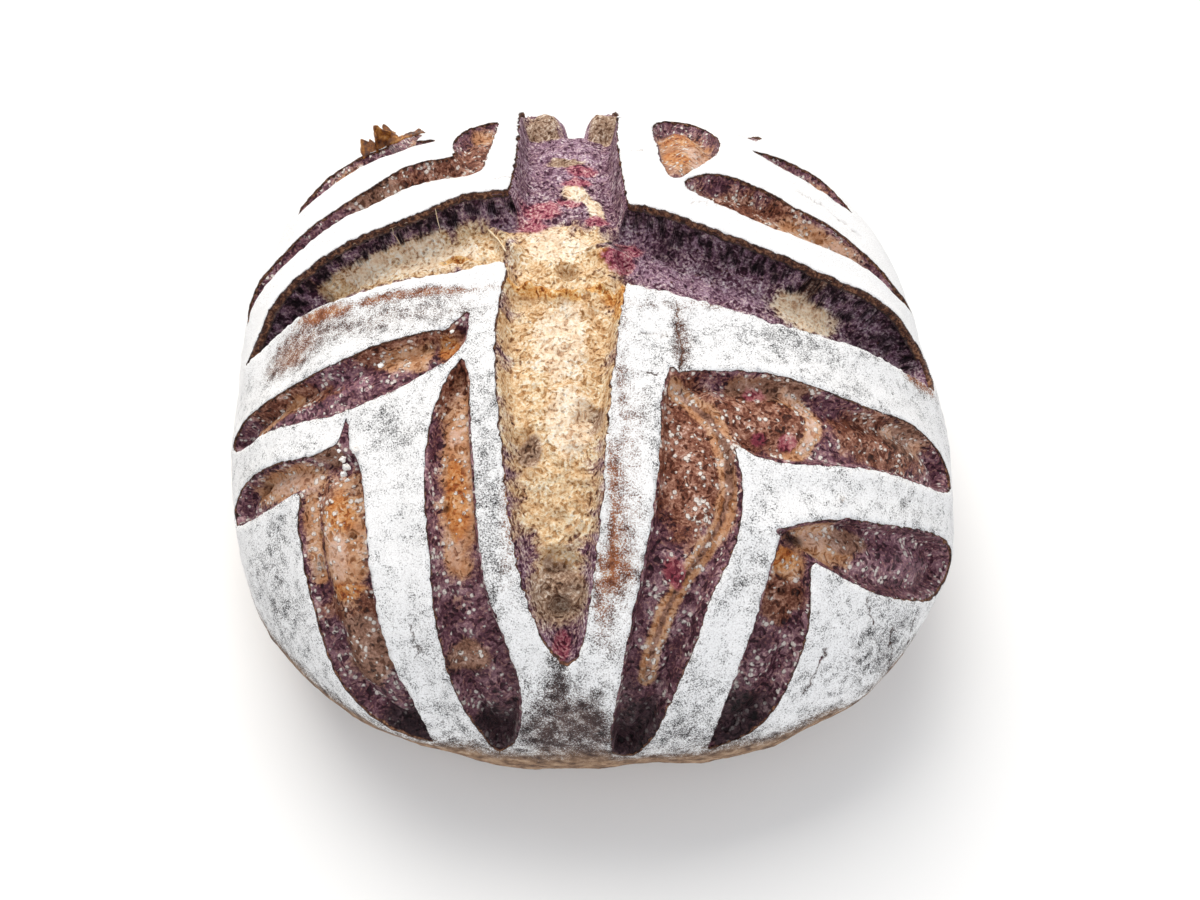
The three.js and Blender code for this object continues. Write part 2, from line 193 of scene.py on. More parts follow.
# The narrow cuts. Each says only where it differs from the usual one
USUAL_CUT = dict(depth=4, rise=1.6, wall=2.2, lip=0.7, tilt=0, edge=1.2)
FRONT_CUTS = [
    dict(line=[(-30, -17, 0.8), (-33, -25, 4), (-41, -28, 6), (-51, -31, 7.5), (-63, -34, 7.5),
               (-77, -35.5, 6.5), (-92, -37, 5.5), (-105, -37.5, 5), (-115, -36.5, 2)],
         rise=1.4, tilt=0.2),
    dict(line=[(-29, -31, 0.6), (-30, -38, 3.5), (-31.2, -50, 5.3), (-31, -63, 6), (-30, -77, 6),
               (-29, -90, 6.6), (-26.5, -103, 8), (-24, -116, 8.6), (-23.5, -128, 5.5),
               (-25.5, -137, 0.6)],
         lip=0.9),
    dict(line=[(-62, -55.5, 4.5), (-73, -56, 4.5), (-84, -57.5, 5.5), (-96, -59, 5.7),
               (-103, -60.5, 4)],
         rise=1.2, tilt=0.2),
    dict(line=[(-63, -59, 9), (-62.5, -68, 10.4), (-61.5, -78, 10.4), (-60, -91, 10),
               (-58.5, -104, 9.8), (-55, -115, 8.6), (-50.5, -124, 5.6), (-46, -132, 0.8)],
         depth=4.2, rise=2, wall=2.4),
    dict(line=[(-60.5, -43.5, 0.5), (-60.5, -49, 1.9), (-60, -55, 2.4)],
         depth=2.2, rise=0.3, wall=1.6, lip=0.3, edge=1.0),
    dict(line=[(24, -34, 1), (30, -38.5, 6.6), (42, -42.5, 10.6), (55, -44, 9.8), (72, -45, 8),
               (90, -45.3, 8), (101, -46.5, 7), (108, -47, 4)],
         depth=4.2, rise=1.8, wall=2.4, tilt=0.2),
    dict(line=[(21.5, -32.5, 0.6), (24, -42, 5), (27, -52, 8), (27.8, -63, 9.6), (26.3, -75, 9.6),
               (23, -87, 8.4), (20.5, -99, 8.2), (17.5, -112, 7.3), (14.7, -125, 6.2), (13, -135, 4)],
         depth=4.2, rise=2, wall=2.4, lip=0.9),
    dict(line=[(46, -71, 0.8), (54, -71.5, 4), (64, -72.5, 7), (77, -74, 8.6), (90, -74, 9),
               (101, -73.5, 8), (109, -73, 4.5)],
         depth=5, rise=1.2, wall=2.4, lip=1.1, tilt=0.3, edge=1.5),
    dict(line=[(50, -73, 4), (49.5, -84, 5.6), (49, -95, 7), (47.5, -106, 7.6), (45.5, -116, 7.2),
               (43, -125, 5.2), (38.5, -133, 0.8)],
         rise=1.4),
]
BACK_CUTS = [
    dict(line=[(-33, 39, 6), (-46, 38, 6), (-58, 34.5, 4.6), (-72, 32, 3.6), (-89, 28, 3.4),
               (-103, 22.5, 3.6), (-112, 17, 2.8), (-116, 10, 0.6)],
         rise=0.8, lip=1.2, tilt=0.3, edge=1.3),
    dict(line=[(-32, 40, 5), (-32, 49, 5), (-32.5, 58, 6), (-31, 66, 4), (-28, 71, 0.8)],
         rise=1, lip=0.8),
    dict(line=[(-46, 62, 1), (-57, 63.5, 5.5), (-68, 61.5, 6.5), (-79, 57, 5.6), (-86, 52, 3.5),
               (-91, 46, 0.6)],
         rise=0.8, wall=2.4, tilt=0.2),
    dict(line=[(-58, 64, 5), (-57, 80, 6.5), (-54, 98, 7.5), (-49, 116, 6.5), (-43, 131, 0.8)]),
    dict(line=[(-29, 88, 0.6), (-29, 98, 5), (-27, 112, 6.5), (-25, 126, 5), (-24, 136, 0.8)],
         lip=0.9),
    dict(line=[(31, 31, 3), (39, 31, 7), (50, 28.5, 7.5), (62, 25.5, 6.6), (76, 23, 6.4),
               (89, 20, 4.8), (102, 17, 3.2), (114, 14.5, 0.8)],
         depth=4.6, rise=1.2, wall=2.4, lip=0.9, tilt=0.3, edge=1.6),
    dict(line=[(26, 36, 2.4), (28, 44, 6), (31, 54, 9), (31.5, 64, 10), (30.5, 74, 8), (29, 82, 3)],
         rise=2, lip=0.8),
    dict(line=[(52, 59, 0.6), (61, 58, 4), (71, 57.5, 4.8), (80, 54, 4), (88, 48, 0.6)],
         rise=1, tilt=0.2),
    dict(line=[(55, 72, 0.8), (54, 82, 5.5), (51, 97, 7.5), (46, 114, 6.5), (40, 130, 0.8)]),
    dict(line=[(25, 98, 0.6), (25, 107, 5), (23, 119, 6), (20, 136, 0.8)],
         rise=1.4, lip=0.9),
]
SLASHES = CROSS + [{**USUAL_CUT, **cut} for cut in FRONT_CUTS + BACK_CUTS]

# The heart of the cross, where the four slashes meet, is shallower: its place, depth and reach
HEART = (-4.5, 9.0)
HEART_DEPTH = 7.0
HEART_FROM = 8.0
HEART_TO = 25.0
SPOT_SPACING = 1.2
REACH = 12.0
LIP_WIDTH = 5.0
FLOOR_START = 3.5
FAR = 99.0


def smooth(value, low, high):
    """0 up to low, 1 from high on, and a soft step between."""
    t = np.clip((value - low) / (high - low), 0, 1)
    return t * t * (3 - 2 * t)


def swelling(uv):
    """How far the broad swells lift the dome at each place."""
    swell = np.zeros(len(uv))
    for height, length_u, length_v, phase in SWELLS:
        swell += height * np.sin(2 * math.pi * (uv[:, 0] / length_u + uv[:, 1] / length_v) + phase)
    return swell


def make_profile(steps=3000):
    """Walked distance, share of the outline's radius, and height: the dome, its foot, the underside."""
    t = np.linspace(0, math.pi / 2, steps)
    reach = np.sin(t) ** (2 / SHOULDER_POWER)
    level = WIDEST_AT + (HEIGHT - WIDEST_AT) * np.cos(t) ** (2 / CROWN_POWER)
    tucked = UNDERSIDE_SHARE + (1 - UNDERSIDE_SHARE) * np.cos(t[1:])
    share = np.concatenate((reach, tucked, [0.0]))
    height = np.concatenate((level, WIDEST_AT * (1 - np.sin(t[1:])), [0.0]))
    walked = np.concatenate(([0.0], np.cumsum(np.hypot(np.diff(share) * RADIUS, np.diff(height)))))
    return walked, share, height


WALKED, SHARE, LEVEL = make_profile()
RIM = WALKED[-2]


def dome(uv):
    """The plain dome at places (u, v), in millimetres."""
    walked = np.hypot(uv[:, 0], uv[:, 1])
    turn = np.arctan2(uv[:, 1], uv[:, 0])
    outline = np.ones(len(uv))
    for waves, cosine, sine in OUTLINE_WAVES:
        outline += cosine * np.cos(waves * turn) + sine * np.sin(waves * turn)
    reach = np.interp(walked, WALKED, SHARE) * RADIUS * outline
    height = np.interp(walked, WALKED, LEVEL)
    return np.column_stack((reach * np.cos(turn), reach * np.sin(turn), height))


def dome_normal(uv, step=0.6):
    """The direction straight out of the dome at each place."""
    along_u = dome(uv + (step, 0)) - dome(uv - (step, 0))
    along_v = dome(uv + (0, step)) - dome(uv - (0, step))
    normal = np.cross(along_u, along_v)
    return normal / np.maximum(np.linalg.norm(normal, axis=1, keepdims=True), 1e-9)


def smooth_line(stations):
    """Even spots along a smooth curve through the stations."""
    points = np.array(stations, float)
    points = np.vstack((2 * points[0] - points[1], points, 2 * points[-1] - points[-2]))
    spots = []
    for a, b, c, d in zip(points, points[1:], points[2:], points[3:]):
        count = max(2, math.ceil(np.linalg.norm(c - b) / SPOT_SPACING))
        t = np.linspace(0, 1, count, endpoint=False)[:, None]
        spots.append(b + 0.5 * t * (c - a + t * (2 * a - 5 * b + 4 * c - d + t * (3 * (b - c) + d - a))))
    return np.vstack(spots + [points[-2:-1]])


for slash in SLASHES:
    slash["spots"] = smooth_line(slash["line"])


def near_slashes(uv):
    """What the nearest slash is like at each place, and the depth and lift that all of them give."""
    count = len(uv)
    near = {name: np.zeros(count) for name in ("side", "wall", "edge", "torn", "lift", "depth")}
    near["distance"] = np.full(count, FAR)
    near["outward"] = np.zeros((count, 2))
    near["number"] = np.full(count, -1)
    for number, slash in enumerate(SLASHES):
        spots = slash["spots"]
        low = (spots[:, :2] - spots[:, 2:3]).min(0) - REACH
        high = (spots[:, :2] + spots[:, 2:3]).max(0) + REACH
        chosen = np.where(((uv > low) & (uv < high)).all(1))[0]
        if len(chosen) == 0:
            continue
        across = uv[chosen, None, :] - spots[None, :, :2]
        gaps = np.linalg.norm(across, axis=2) - spots[None, :, 2]
        best = gaps.argmin(1)
        rows = np.arange(len(chosen))
        distance = gaps[rows, best]
        across = across[rows, best]
        side = across[:, 1] / np.maximum(spots[best, 2], 1)
        wall = smooth(-distance, 0, slash["wall"])
        middle = smooth(-distance, slash["wall"], FLOOR_START * slash["wall"])
        floor_depth = slash["depth"] * (1 + slash["tilt"] * side) * wall - slash["rise"] * middle
        near["depth"][chosen] = np.maximum(near["depth"][chosen], floor_depth)
        lift = slash["lip"] * np.exp(-(distance / LIP_WIDTH) ** 2)
        near["lift"][chosen] = np.maximum(near["lift"][chosen], lift)
        closer = distance < near["distance"][chosen]
        won = chosen[closer]
        near["distance"][won] = distance[closer]
        near["side"][won] = side[closer]
        near["wall"][won] = slash["wall"]
        near["edge"][won] = slash["edge"]
        near["torn"][won] = number < len(CROSS)
        near["number"][won] = number
        out = across[closer]
        near["outward"][won] = out / np.maximum(np.linalg.norm(out, axis=1, keepdims=True), 0.01)
    heart = 1 - smooth(np.hypot(uv[:, 0] - HEART[0], uv[:, 1] - HEART[1]), HEART_FROM, HEART_TO)
    near["depth"] -= heart * np.maximum(near["depth"] - HEART_DEPTH, 0)
    return near


def laid_flat(uv):
    """The places as points of the flat sheet, where the patterns that follow the crust are read."""
    return np.column_stack((uv, np.zeros(len(uv))))


def gap_to_patch(uv, u, v, half_u, half_v):
    """How far each place is from the middle of an oval patch: 1 at its half sizes."""
    return np.hypot((uv[:, 0] - u) / half_u, (uv[:, 1] - v) / half_v)


def gap_to_line(uv, stations):
    """Distance in millimetres from each place to the line through the stations."""
    gap = np.full(len(uv), FAR)
    for start, end in zip(stations, stations[1:]):
        run = np.array(end, float) - start
        t = np.clip(((uv - start) @ run) / (run @ run), 0, 1)[:, None]
        gap = np.minimum(gap, np.linalg.norm(uv - start - t * run, axis=1))
    return gap


def lumps(points, size, octaves=3, seed=0.0):
    """Soft noise of about -1 to 1, in lumps of that size, at each point."""
    return np.array([noise.fractal(p, 0.7, 2.0, octaves) for p in (points / size + seed).tolist()])


def cells(points, size, seed=0.0):
    """Distance to the nearest seed of a web of cells of that size: 0 in the middle, about 1 at a wall."""
    return np.array([noise.voronoi(p)[0][0] for p in (points / size + seed).tolist()])


def flat_sheet(rings, reach):
    """An even sheet of triangles laid out flat: ring k has 6k corners, the outer one lies at reach."""
    bm = bmesh.new()
    bmesh.ops.create_circle(bm, cap_ends=True, cap_tris=True, segments=6, radius=1)
    bmesh.ops.subdivide_edges(bm, edges=bm.edges, cuts=rings - 1, use_grid_fill=True)
    places = np.array([v.co[:2] for v in bm.verts])
    sector = math.pi / 3
    turn = np.arctan2(places[:, 1], places[:, 0])
    start = np.floor(turn / sector - 0.5 + 1e-6) + 0.5
    off_middle = turn - (start + 0.5) * sector
    outward = np.hypot(places[:, 0], places[:, 1]) * np.cos(off_middle) / math.cos(sector / 2)
    along_side = 0.5 + np.tan(off_middle) / (2 * math.tan(sector / 2))
    angle = (start + along_side) * sector
    for v, r, a in zip(bm.verts, outward * reach, angle):
        v.co = (r * math.cos(a), r * math.sin(a), 0)
    return bm


def flat_places(bm):
    """Where the corners of the flat sheet lie."""
    return np.array([v.co[:2] for v in bm.verts])


def refine(bm, wanted):
    """Halves the sides of the triangles whose two ends are both wanted."""
    bm.verts.ensure_lookup_table()
    edges = [e for e in bm.edges if wanted[e.verts[0].index] and wanted[e.verts[1].index]]
    bmesh.ops.subdivide_edges(bm, edges=edges, cuts=1, use_grid_fill=True)
    bmesh.ops.triangulate(bm, faces=bm.faces)
    bm.verts.index_update()


def set_attribute(mesh, name, values):
    """Stores a number at each corner, for the material to read."""
    mesh.attributes.new(name, "FLOAT", "POINT").data.foreach_set("value", values.astype(np.float32))


def put_in_place(obj, points):
    """Sets the corners of a piece from millimetres on the dome, kept inside the loaf's own box."""
    placed = np.clip((points - CENTRE) * MM, cad_box[0], cad_box[1])
    obj.data.vertices.foreach_set("co", placed.ravel())
    obj.data.update()


# Ridges and tufts of crumb: from, to, half width and height, in millimetres
RIDGES = [
    ((-20, -5), (-16, -4.5), 1.8, 2.0),
    ((-16, -4.5), (-5, -8), 1.7, 2.2),
    ((-5, -8), (4.5, -4), 1.7, 2.0),
    ((4.5, -4), (10, -6.5), 1.9, 2.2),
    ((-25, 21), (-18, 9.5), 2.0, 3.2),
    ((31, -38), (37, -54), 2.2, 2.0),
    ((6, 9), (9, 7.5), 2.6, 2.2),
    ((72, 6.5), (80, 5), 2.0, 2.6),
]

# Round lumps of crumb that stand up at the back end of the long slash: place, half sizes and height
CRUMB_LUMPS = [(-15.0, 101, 8.2, 11, 9.0), (6.0, 101, 6.6, 10, 8.6)]

# Pockets in the crumb: place, half sizes and depth
POCKETS = [
    (-4.1, 2.1, 3.4, 3.0, 3.0),
    (2.9, -12.0, 1.4, 1.5, 1.4),
    (-14.5, -52.0, 2.6, 4.0, 1.2),
    (1.5, -44.0, 3.6, 5.0, 1.2),
    (-12.1, -36.0, 1.0, 1.2, 1.2),
    (-5.5, -84.0, 6.0, 5.0, 2.2),
    (-5.4, -96.0, 3.0, 3.4, 3.0),
    (11.5, 7.2, 3.4, 3.0, 3.4),
    (-94.6, -55.8, 3.6, 1.8, 2.2),
    (-86.0, -53.7, 1.0, 0.8, 1.2),
    (-57.8, -72.5, 1.1, 1.1, 1.6),
    (-68.6, -70.8, 0.9, 0.9, 1.4),
    (-70.2, -80.0, 1.0, 3.6, 1.6),
    (-33.0, -68.0, 1.0, 1.5, 1.4),
    (49.8, -85.2, 1.5, 1.5, 2.0),
    (71.8, 4.4, 4.6, 1.3, 3.0),
    (-38.0, 12.2, 4.8, 1.0, 1.2),
    (97.0, 0.0, 4.0, 2.4, 3.0),
    (-88.0, 11.4, 3.0, 2.2, 3.4),
    (-44.0, 37.5, 5.0, 1.0, 1.6),
    (67.0, -66.6, 4.0, 1.0, 2.0),
]

# Where the marbling shows which dough, and where shade is painted: place and half sizes of each patch. The
# last list is no dough but painted shade, at the foot of the front cuts and the front arm, in the hollows of
# the side arms and on the walls of the long slash; the tan patches in the pockets and at the foot of the
# front arm are painted shade too
TINTS = {
    "lilac": [
        (-5, 64, 10.5, 24), (-5, 92, 11, 7), (-24, 19, 9, 6), (44, -45, 8, 4), (-68, -32, 12, 3),
        (90, -72, 12, 5), (-12, 20, 6, 5), (14, 14, 6, 5), (22, 6, 14, 3.4), (44, 3, 16, 3.4),
        (-80, -36, 14, 3),
    ],
    "golden": [
        (-4.5, 9, 16, 13), (-5, -4, 20, 9), (-5.5, -18, 18, 14), (-6, -40, 16, 22), (-6, -66, 10.5, 16),
        (-5.5, -88, 6, 10), (-30, 15, 13, 8), (-48, 15, 19, 8), (-66, 15, 15, 7), (-81, 13.5, 8, 5),
        (-46, -27, 9, 3.6), (-30, -62, 4.4, 24), (-83, -56.5, 16, 5), (-60.5, -74, 7, 15), (46, -34, 10, 1.6),
        (60, -72, 10, 5.4), (49.6, -78, 5, 4), (31, 58, 8.4, 20), (77, 26.5, 20, 6), (68, 57, 16, 3.6),
        (-31, 66, 4, 4), (-38, 38, 4, 2), (-75, 62, 12, 3), (-57, 92, 4, 16), (52, 100, 4, 16),
        (24, 114, 3, 12), (-27, 112, 3, 10),
    ],
    # The tan patches in the pockets and at the foot of the front arm are painted shade
    "tan": [
        (-14.8, 92, 6, 6.5), (6.2, 94, 5, 6), (-29, -106, 5, 4.6), (-57.5, -105.5, 8, 6.5), (-5.5, -92, 7, 9),
        (1.5, -46, 4, 5), (-13, -54, 3, 4), (-56, 37, 16, 3), (47, -34.8, 12, 2), (68, -70.5, 7, 3),
        (92, -41, 9, 5), (-60, -100, 5, 4), (-58, -98, 6, 5), (-67, -50.5, 5, 3), (-6, 60, 6, 3),
    ],
    "cream": [
        (-3, 41, 4, 4.5), (73.5, 1.5, 12, 9), (-7, 13, 8, 7), (-5.5, -22, 7, 12),
        (-3, -46, 6, 10), (-46, 14.5, 17, 5), (-66, 14, 10, 4), (-31, -50, 1.6, 2.2), (-30.6, -74, 2, 8),
        (-62, -77, 3, 6), (-80, -56.5, 9, 2.4), (58, -71.5, 5, 2.2), (98.5, -42, 3.4, 2.6),
        (85.5, -40, 2.4, 1.2), (33, 54, 4, 7), (84, 24, 12, 2.8),
    ],
    "magenta": [
        (-1, 55, 5, 3.6), (-11.5, 30, 5, 4.6), (-4, 35, 3.6, 2.2), (-14, 22.5, 4.5, 3.6),
        (-2, 47, 4.5, 2.6), (42.4, -36, 3, 1.8), (49.9, -48, 2.4, 2.2), (42.5, -48, 2, 1.6),
        (23, -84, 2.4, 4), (10.5, 8, 4.6, 4.4), (13, 15, 5, 2.6), (4, 25, 3.4, 2.4), (-5, -105, 2, 3),
    ],
    "brown": [
        (-50, 39, 24, 5), (-32, 52, 5, 12), (26.5, -54, 9, 24), (43, -43, 16, 9), (82, -44, 20, 7),
        (45, 30, 14, 6), (-87, -33, 17, 3.4), (-31, -38, 5, 9), (-50, -25, 14, 4), (49, -86, 5, 7),
        (-62, -64, 10, 8), (-38, 44, 8, 5), (-34, -25, 5, 5), (-60, -90, 9, 6), (56, 29, 12, 5),
    ],
    "orange": [
        (-17.5, -4.6, 3.6, 1.3), (-11, -6, 5, 1.4), (-4.5, -8, 5, 1.5), (3.5, -4.6, 5, 1.5),
        (9, -6.5, 4, 3.4), (7.4, 8.4, 3, 2.2), (-38, 12.2, 5.2, 1.3), (9.4, -13, 1.8, 5),
        (-60.5, -86, 5, 2.4), (32, 68, 7, 7), (-30.4, -66, 3, 10), (-61, -66, 5, 5), (49, -77, 4, 3),
        (-35, -25, 3, 3), (28, 52, 4, 6),
    ],
    # Painted shade, not a dough: the foot of the front cuts, the hollows of the side arms, the walls of the
    # long slash
    "painted_shade": [
        (17, -130, 11, 18), (45.5, -124, 10, 14), (-24.5, -130, 9, 12), (-52, -129, 11, 10),
        (-98, 5, 9, 5), (99, -1.5, 11, 5), (109, -7, 5, 6), (-19.5, 43, 1.5, 3), (10.6, 43, 1.5, 3),
        (44, 12, 12, 2.6), (26, 16, 5, 2.5), (-5, -104, 3, 3), (87, 4, 6, 3), (52, -72, 3, 1.6),
        (-5, -107, 3, 2),
    ],
}
TINT_WANDER = 0.3

# Seams where the two doughs were folded together: tint, half width, and the places they run through
SEAMS = [
    ("golden", 1.8, [(22.5, -36), (25, -38), (31.6, -44.6), (34.8, -53.4), (35.6, -62), (34.1, -70),
                     (29.4, -79.2), (24.6, -86), (21.4, -94.4), (18.5, -104), (17.5, -112)]),
    ("tan", 0.5, [(24, -37), (31, -44), (34.6, -53), (35.4, -62), (33.8, -70), (29, -79.5), (24.4, -86.5),
                  (21, -95), (18.5, -104), (17.5, -112)]),
    ("golden", 1.6, [(44, -34), (50, -35.5), (55, -38.2), (57.2, -44), (54.5, -49), (50.5, -51.5)]),
    ("cream", 0.8, [(50, -35.5), (54.6, -38.2), (56.8, -44), (54, -49)]),
    ("golden", 1.3, [(-72, -60), (-70.5, -70), (-70, -82)]),
    ("golden", 1.2, [(-84, -33), (-94, -36), (-102, -38)]),
    ("cream", 0.8, [(-58, 35.5), (-48, 37.8), (-40, 38)]),
    ("cream", 1.7, [(-4, 44), (0, 39), (3.4, 34), (4.4, 26)]),
    ("lilac", 1.4, [(18, 14), (30, 8), (46, 6), (60, 1)]),
    ("lilac", 1.2, [(-20, 75), (-8, 78), (8, 74)]),
    ("lilac", 1.2, [(-18, 50), (-6, 49), (9, 52)]),
]


def patch_strength(uv, name, warp):
    """1 inside the patches and seams of a tint and 0 away from them, with wandering edges."""
    strength = np.zeros(len(uv))
    for patch in TINTS[name]:
        gap = gap_to_patch(uv, *patch)
        strength = np.maximum(strength, 1 - smooth(gap + TINT_WANDER * warp, 0.45, 1.4))
    for tint, half, stations in SEAMS:
        if tint == name:
            gap = gap_to_line(uv, stations) / half
            strength = np.maximum(strength, 1 - smooth(gap + TINT_WANDER * warp, 0.6, 1.7))
    return strength


CRUMB_RINGS = 54
CRUMB_REACH = 150.0
FADE_START = 8.0
FADE_END = 26.0
ARMS_FROM = 2

# Where the crumb shows, the sheet gets finer triangles: everywhere up to 2.5 mm outside the slashes, then
# in the cross and in every slash in front, and the finest on the far walls of the arms
FINE_WITHIN = 2.5
FINER_WITHIN = 0.8
FINER_UP_TO = 12.0
FAR_WALL_SIDE = 0.2
FINEST_WITHIN = 0.3
FINEST_DOWN_TO = -6.5
bm = flat_sheet(CRUMB_RINGS, CRUMB_REACH)
refine(bm, near_slashes(flat_places(bm))["distance"] < FINE_WITHIN)
uv = flat_places(bm)
near = near_slashes(uv)
refine(bm, (near["distance"] < FINER_WITHIN) & ((near["torn"] > 0) | (uv[:, 1] < FINER_UP_TO)))
near = near_slashes(flat_places(bm))
far_wall = (near["torn"] > 0) & (near["number"] >= ARMS_FROM) & (near["side"] > FAR_WALL_SIDE)
refine(bm, far_wall & (near["distance"] < FINEST_WITHIN) & (near["distance"] > FINEST_DOWN_TO))

uv = flat_places(bm)
near = near_slashes(uv)
inside = smooth(-near["distance"], 0.2, 2.2)
torn = near["torn"] * smooth(-near["distance"], -1.0, 0.5)
flat = laid_flat(uv)
share_of_wall = np.clip(-near["distance"] / np.maximum(near["wall"], 1), 0, 1)
on_wall = np.sin(math.pi * share_of_wall)
across_arm = (near["number"] >= ARMS_FROM) & (near["number"] < len(CROSS))
far_side = np.clip(near["side"] * 1.6, 0, 1)

# The crumb lies a crust's thickness below the dome, and deeper in the slashes
LEDGE = 1.6
LEDGE_SHARE = 0.75
ledge = np.where(near["number"] >= 0, near["edge"] * LEDGE_SHARE, LEDGE)
depth = np.maximum(near["depth"], ledge)
SUNK_AT_LEAST = 0.4
raised = np.zeros(len(uv))
for start, end, half, height in RIDGES:
    raised += height * np.exp(-(gap_to_line(uv, [start, end]) / half) ** 2)
for *patch, height in CRUMB_LUMPS:
    gap = gap_to_patch(uv, *patch)
    raised = np.maximum(raised, height * np.maximum(1 - gap ** 2, 0) ** 0.6)
raised = np.minimum(raised, depth - SUNK_AT_LEAST)
pocket = np.zeros(len(uv))
pocket_shade = np.zeros(len(uv))
for *patch, sunk in POCKETS:
    gap = gap_to_patch(uv, *patch)
    pocket = np.maximum(pocket, sunk * (1 - smooth(gap, 0.35, 1.15)))
    pocket_shade = np.maximum(pocket_shade, (1 - smooth(gap, 0.5, 1.1)) * min(sunk / 3, 1))

# The crumb's own relief, in millimetres: two webs of cells, lumps and grain, all flatter in the skin
WEB_SIZE = 3.1
FINE_WEB_SIZE = 1.7
ROUGH_SIZE = 7.0
GRAIN_SIZE = 2.2
web = smooth(cells(flat, WEB_SIZE, seed=4.0), 0.1, 0.8) - 0.6
fine_web = cells(flat, FINE_WEB_SIZE, seed=9.0) - 0.5
rough = lumps(flat, ROUGH_SIZE, seed=2.0)
grain = lumps(flat, GRAIN_SIZE, seed=6.0)
torn_relief = 0.8 * rough + 0.5 * grain + 0.45 * web + 0.3 * fine_web
skin_relief = 0.35 * rough + 0.16 * grain - 0.22 * fine_web
relief = inside * (torn * torn_relief + (1 - torn) * skin_relief)

fade = smooth(RIM - np.hypot(uv[:, 0], uv[:, 1]), FADE_START, FADE_END)
lifted = swelling(uv) * fade + near["lift"] * (1 - inside) * fade
stand = lifted + (raised - pocket) * inside + relief - depth

# Behind the crust of the two arms the wall hollows out, and there the crumb tore into a band of open
# cells. The foot of the band lies so far below the crust at the right, and at the left
BAND_FOOT_RIGHT = 11.2
BAND_FOOT_LEFT = 8.4
CELL_SIZE = 2.6
CELL_DEPTH = 1.2
ARM_HOLLOW = 2.0
SLASH_HOLLOW = 0.5
SKIN_HOLLOW = 0.9
band_foot = np.where(uv[:, 0] > 0, BAND_FOOT_RIGHT, BAND_FOOT_LEFT)
band = smooth(-stand, 0.8, 1.8) * (1 - smooth(-stand, band_foot - 2.6, band_foot))
band *= torn * far_side * across_arm
cell_web = cells(dome(uv) + dome_normal(uv) * stand[:, None], CELL_SIZE)
patchy = 0.4 + 0.6 * smooth(lumps(flat, 8.0, seed=15.0), -0.3, 0.25)
holes = smooth(1 - cell_web / 0.62, 0.15, 0.5) * band * patchy
hollow = np.where(across_arm, ARM_HOLLOW * far_side, SLASH_HOLLOW) * on_wall * torn + 0.9 * holes
hollow += SKIN_HOLLOW * on_wall * (1 - torn) * inside * np.clip(0.3 + near["side"], 0, 1)
stand -= CELL_DEPTH * holes
pushed = uv + near["outward"] * hollow[:, None]
points = dome(pushed) + dome_normal(pushed) * stand[:, None]

# How strongly each tint shows at each place: purple walls between the cells, and painted shade in the
# hollows, the holes and the pockets, which grows darker still down the front of the narrow cuts
tint_warp = lumps(flat, 5.0, octaves=6, seed=11.0)
tints = {name: patch_strength(uv, name, tint_warp) for name in TINTS}
deep_wall = on_wall * torn * np.where(across_arm, far_side, 0.25)
cell_edges = smooth(cell_web, 0.5, 0.75)
tints["lilac"] = np.maximum(tints["lilac"], 0.8 * band * cell_edges)
# Painted shade that deepens down the front of the narrow cuts, with less of it on golden and tan crumb
painted_low_shade = 0.5 * smooth(-uv[:, 1], 56, 114) * (1 - near["torn"]) * (0.7 + 0.3 * rough)
painted_low_shade *= 1 - 0.6 * np.maximum(tints["golden"], tints["tan"])
# Painted shade from the dark patches, stronger in the narrow cuts than in torn crumb
shaded = np.maximum(np.where(near["torn"] > 0, 0.4, 0.9) * tints["painted_shade"], painted_low_shade)
# Painted shade on the walls, in the band under the arms' crust (lighter on the cell edges), full in the
# holes, and in the pockets
shaded = np.maximum(shaded, 0.1 * deep_wall + band * (0.55 - 0.35 * cell_edges) + holes)
tints["painted_shade"] = np.clip(np.maximum(shaded, np.where(torn > 0.5, 0.2, 0.6) * pocket_shade), 0, 1)
# Painted shade in the pockets of golden and cream crumb, given as brown
golden_pocket_shade = pocket_shade * torn * np.maximum(tints["golden"], tints["cream"])
tints["brown"] = np.maximum(tints["brown"], 0.55 * golden_pocket_shade)
skin_margin = (1 - torn) * smooth(near["distance"], -1.9, -0.3)
for name in ("golden", "cream", "orange"):
    tints[name] *= (1 - 0.95 * band) * (1 - 0.4 * deep_wall * (1 - across_arm)) * (1 - skin_margin)

# The hidden underside of the crumb: the outer ring is drawn down and inwards, and closed
CORE_FLOOR = 14.0
CORE_SHARE = 0.82
outer = [e for e in bm.edges if e.is_boundary]
extruded = bmesh.ops.extrude_edge_only(bm, edges=outer)["geom"]
lower = [g for g in extruded if isinstance(g, bmesh.types.BMVert)]
bmesh.ops.contextual_create(bm, geom=[g for g in extruded if isinstance(g, bmesh.types.BMEdge)])
bm.verts.index_update()
lower_index = np.array([v.index for v in lower])
lower_places = np.array([v.co[:2] for v in lower])
bottom = dome(lower_places) * (CORE_SHARE, CORE_SHARE, 0) + (0, 0, CORE_FLOOR)
all_points = np.zeros((len(bm.verts), 3))
all_points[:len(points)] = points
all_points[lower_index] = bottom
crumb = new_object("crumb", bm)
put_in_place(crumb, all_points)
extra = len(all_points) - len(points)
for name, values in list(tints.items()) + [("torn", torn)]:
    set_attribute(crumb.data, name, np.concatenate((values, np.zeros(extra))))
bm = bmesh.new()
bm.from_mesh(crumb.data)
bmesh.ops.triangulate(bm, faces=[f for f in bm.faces if len(f.verts) > 3])
bmesh.ops.recalc_face_normals(bm, faces=bm.faces)
bm.to_mesh(crumb.data)
bm.free()
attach(crumb, "root")
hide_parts("loaf")

